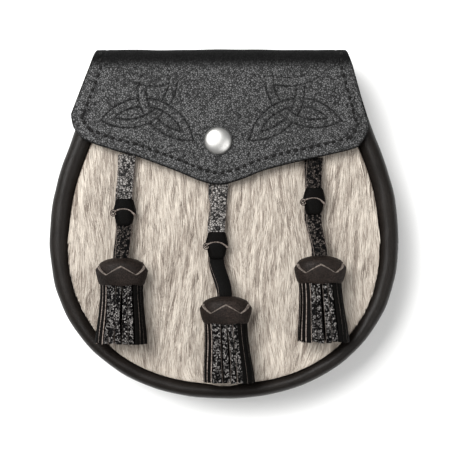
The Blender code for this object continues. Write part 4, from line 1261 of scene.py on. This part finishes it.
def make_stage(sizes, materials):
    """A plain pale floor, soft lights above it, and a camera straight over the pouch as it lies."""
    bpy.ops.object.select_all(action="DESELECT")
    bpy.ops.mesh.primitive_plane_add(size=sizes.floor_size, location=(0, 0, 0))
    floor = bpy.context.object
    floor.name = "studio_floor"
    floor.data.materials.append(materials["floor"])
    lights = (
        {"name": "key_light", "at": (-0.58, 0.48, 1.20), "size": 0.90, "watts": 36.0},
        {"name": "fill_light", "at": (0.85, -0.45, 1.1), "size": 1.1, "watts": 9.0},
    )
    pouch_middle = Vector((0, 0, 0.03))
    for row in lights:
        place = Vector(row["at"])
        turned = (pouch_middle - place).to_track_quat("-Z", "Y").to_euler()
        bpy.ops.object.light_add(type="AREA", location=place, rotation=turned)
        lamp = bpy.context.object
        lamp.name = row["name"]
        lamp.data.energy = row["watts"]
        lamp.data.size = row["size"]
    world = bpy.data.worlds.new("studio_air")
    world.use_nodes = True
    air = world.node_tree.nodes["Background"]
    air.inputs["Color"].default_value = (1, 1, 1, 1)
    air.inputs["Strength"].default_value = 0.38
    bpy.context.scene.world = world
    view_width, view_x, view_y, front_level = 0.243, 0.0005, -0.0003, 0.040
    lens, sensor_width = 150.0, 36.0
    high = front_level + view_width * lens / sensor_width
    bpy.ops.object.camera_add(location=(view_x, view_y, high), rotation=(0, 0, 0))
    camera = bpy.context.object
    camera.name = "photo_camera"
    camera.data.lens = lens
    bpy.context.scene.camera = camera
    bpy.context.scene.view_settings.view_transform = "Standard"


def make_materials(colours):
    """The finishes that several pieces share, by what each is used for."""
    c = colours
    worn = [0.82 * part for part in c.nickel[:3]] + [1.0]
    shade = [0.97 * part for part in c.floor[:3]] + [1.0]
    return {
        # Printed calf: round pebbles about a millimetre wide, with small bright glints painted into the colour of
        # their tops as painted highlights, and painted shade between them
        "flap": make_leather("pebbled calf", c.flap_dark[:], c.flap_grey_and_sheen[:], 1.0 * MM, 0.22 * MM, 0.42, 0.6,
                             0.15, uneven=0.72, tones=(0.22, 0.48), flap=True),
        # Smooth calf drawn over a cord: fine grain, a broad soft gloss
        "rim": make_leather("smooth calf", c.calf_dark[:], c.calf_light[:], 0.7 * MM, 0.03 * MM, 0.34, 0.44, 0.5,
                            gloss=0.13),
        "back": make_leather("back calf", c.calf_dark[:], c.calf_light[:], 0.9 * MM, 0.06 * MM, 0.5, 0.62, 0.4),
        "gusset": make_leather("soft calf", c.calf_dark[:], c.calf_light[:], 0.8 * MM, 0.06 * MM, 0.44, 0.58, 0.5),
        "loop": make_leather("harness leather", c.calf_dark[:], c.calf_light[:], 0.9 * MM, 0.05 * MM, 0.42, 0.56,
                             0.4),
        # Glazed goat: lumpy grain with black pits, glossy on top, with bright glints painted into the colour of
        # the grain tops as painted highlights
        "strap": make_leather("glazed goat", c.tassel_dark[:], c.strap_tone_and_glint[:], 1.15 * MM, 0.3 * MM, 0.34, 0.5,
                              0.3, uneven=0.95, gloss=0.12, tones=(0.25, 0.5)),
        "fringe": make_leather("glazed goat strips", c.tassel_dark[:], c.tassel_glint[:], 0.85 * MM, 0.3 * MM,
                               0.34, 0.5, 0.5, uneven=1.0, gloss=0.04, tones=(0.42, 0.72)),
        # A darker copy of the glazed goat with fewer glints, for the straps under the knots; on the right tassel's
        # upper strap it is painted shade
        "dull": make_leather("dull goat", c.tassel_dark[:], c.dull_tone_and_glint[:], 1.0 * MM, 0.3 * MM, 0.36, 0.5,
                             0.6, uneven=1.0, gloss=0.04, tones=(0.42, 0.72)),
        # Black thong leather for the knots and the centre strap under its knot; on the fringe strips that face
        # away from the front it stands as painted shade
        "knot": make_leather("thong leather", c.tassel_dark[:], c.calf_dark[:], 0.8 * MM, 0.05 * MM, 0.5, 0.6,
                             0.5, gloss=0.03),
        "collar": make_leather("waxed leather", c.collar_dark[:], c.collar_light[:], 0.9 * MM, 0.06 * MM,
                               0.46, 0.58, 1.0, gloss=0.1),
        # Cut edge or flesh side of dyed leather: short packed fibres, dull, browner than the grain side
        "edge": make_mottled("raw edge", linear("#3A302A"), c.cut_edge[:], 0.9 * MM, 5.0, 0.7, 0.35, 0.68, 0.78,
                             (0.8, 0.12 * MM), 0.25),
        "waxed_edge": make_mottled("waxed raw edge", linear("#2A2420"), c.waxed_edge[:], 0.9 * MM, 5.0, 0.7,
                                   0.35, 0.68, 0.78, (0.8, 0.12 * MM), 0.25),
        "thread": make_thread(c),
        "hair": make_hair(c),
        # Tanned skin under the hair, taupe, with the shade of the roots
        "skin": make_mottled("tanned skin", c.hair_dark[:], c.hair_taupe[:], 1.1 * MM, 4.0, 0.5, 0.35, 0.65, 0.85,
                             (0.6, 0.2 * MM)),
        # Nickel-plated brass, tumbled to a satin finish, with faint scuffs
        "nickel": make_mottled("satin nickel", c.nickel[:], worn, 1.6 * MM, 6.0, 0.75, 0.35, 0.7, (0.34, 0.44),
                               (0.2, 0.02 * MM), metal=1.0),
        "stud": make_mottled("plain nickel", c.nickel[:], worn, 1.6 * MM, 6.0, 0.75, 0.35, 0.7, (0.3, 0.42),
                             (0.2, 0.02 * MM), metal=1.0),
        # Matt painted studio floor, near white, very slightly mottled
        "floor": make_mottled("matt floor paint", c.floor[:], shade, 1 / 3, 3.0, 0.5, 0.3, 0.7, 0.9, gloss=0.1),
    }


MATERIALS = {}


def finishes(scene):
    """The materials, made once."""
    if not MATERIALS:
        MATERIALS.update(make_materials(scene.sporran_colours))
    return MATERIALS


class Maker:
    """Runs an operator's make function with the sizes and the materials of the scene."""

    def execute(self, context):
        self.make(context.scene.sporran_sizes, finishes(context.scene))
        return {"FINISHED"}


class SPORRAN_OT_flap(Maker, bpy.types.Operator):
    """Folds the pebbled flap over the mouth, with its pressed interlace and its seam"""
    bl_idname = "sporran.flap"
    bl_label = "Flap"
    make = staticmethod(make_flap)


class SPORRAN_OT_fur(Maker, bpy.types.Operator):
    """Lays the hair-on hide in the front"""
    bl_idname = "sporran.fur"
    bl_label = "Hide front"
    make = staticmethod(make_fur)


class SPORRAN_OT_rim(Maker, bpy.types.Operator):
    """Draws the stuffed roll round the hide"""
    bl_idname = "sporran.rim"
    bl_label = "Rim roll"
    make = staticmethod(make_rim)


class SPORRAN_OT_body(Maker, bpy.types.Operator):
    """Sews the gusset and the back"""
    bl_idname = "sporran.body"
    bl_label = "Gusset and back"
    make = staticmethod(make_gusset_and_back)


class SPORRAN_OT_belt_loops(Maker, bpy.types.Operator):
    """Sews the two belt loops on the back"""
    bl_idname = "sporran.belt_loops"
    bl_label = "Belt loops"
    make = staticmethod(make_belt_loops)


class SPORRAN_OT_press_stud(Maker, bpy.types.Operator):
    """Turns the press stud's cap and finishes the stud under it"""
    bl_idname = "sporran.press_stud"
    bl_label = "Press stud"
    make = staticmethod(make_press_stud)


class SPORRAN_OT_tassels(Maker, bpy.types.Operator):
    """Makes the strap, knot, collar and fringe of each tassel"""
    bl_idname = "sporran.tassels"
    bl_label = "Tassels"
    make = staticmethod(make_tassels)


class SPORRAN_OT_stage(Maker, bpy.types.Operator):
    """Sets the floor, the lights and the camera"""
    bl_idname = "sporran.stage"
    bl_label = "Studio"
    make = staticmethod(make_stage)


class SPORRAN_PT_panel(bpy.types.Panel):
    """Sizes, colours and pieces of the sporran"""
    bl_idname = "SPORRAN_PT_panel"
    bl_label = "Sporran pouch"
    bl_space_type = "VIEW_3D"
    bl_region_type = "UI"
    bl_category = "Sporran"

    def draw(self, context):
        for group in (context.scene.sporran_sizes, context.scene.sporran_colours):
            box = self.layout.box()
            for name in group.__annotations__:
                box.prop(group, name)
        for operator in OPERATORS:
            self.layout.operator(operator.bl_idname)


GROUPS = (SporranSizes, SporranColours)
OPERATORS = (SPORRAN_OT_stage, SPORRAN_OT_body, SPORRAN_OT_belt_loops, SPORRAN_OT_rim, SPORRAN_OT_fur,
             SPORRAN_OT_tassels, SPORRAN_OT_flap, SPORRAN_OT_press_stud)


def register():
    for made in GROUPS + OPERATORS + (SPORRAN_PT_panel,):
        bpy.utils.register_class(made)
    bpy.types.Scene.sporran_sizes = bpy.props.PointerProperty(type=SporranSizes)
    bpy.types.Scene.sporran_colours = bpy.props.PointerProperty(type=SporranColours)


def unregister():
    del bpy.types.Scene.sporran_colours
    del bpy.types.Scene.sporran_sizes
    for made in (SPORRAN_PT_panel,) + OPERATORS + GROUPS:
        bpy.utils.unregister_class(made)


def main():
    register()
    bpy.ops.sporran.stage()
    bpy.ops.sporran.body()
    bpy.ops.sporran.belt_loops()
    bpy.ops.sporran.rim()
    bpy.ops.sporran.fur()
    bpy.ops.sporran.tassels()
    bpy.ops.sporran.flap()
    bpy.ops.sporran.press_stud()


if __name__ == "__main__":
    main()
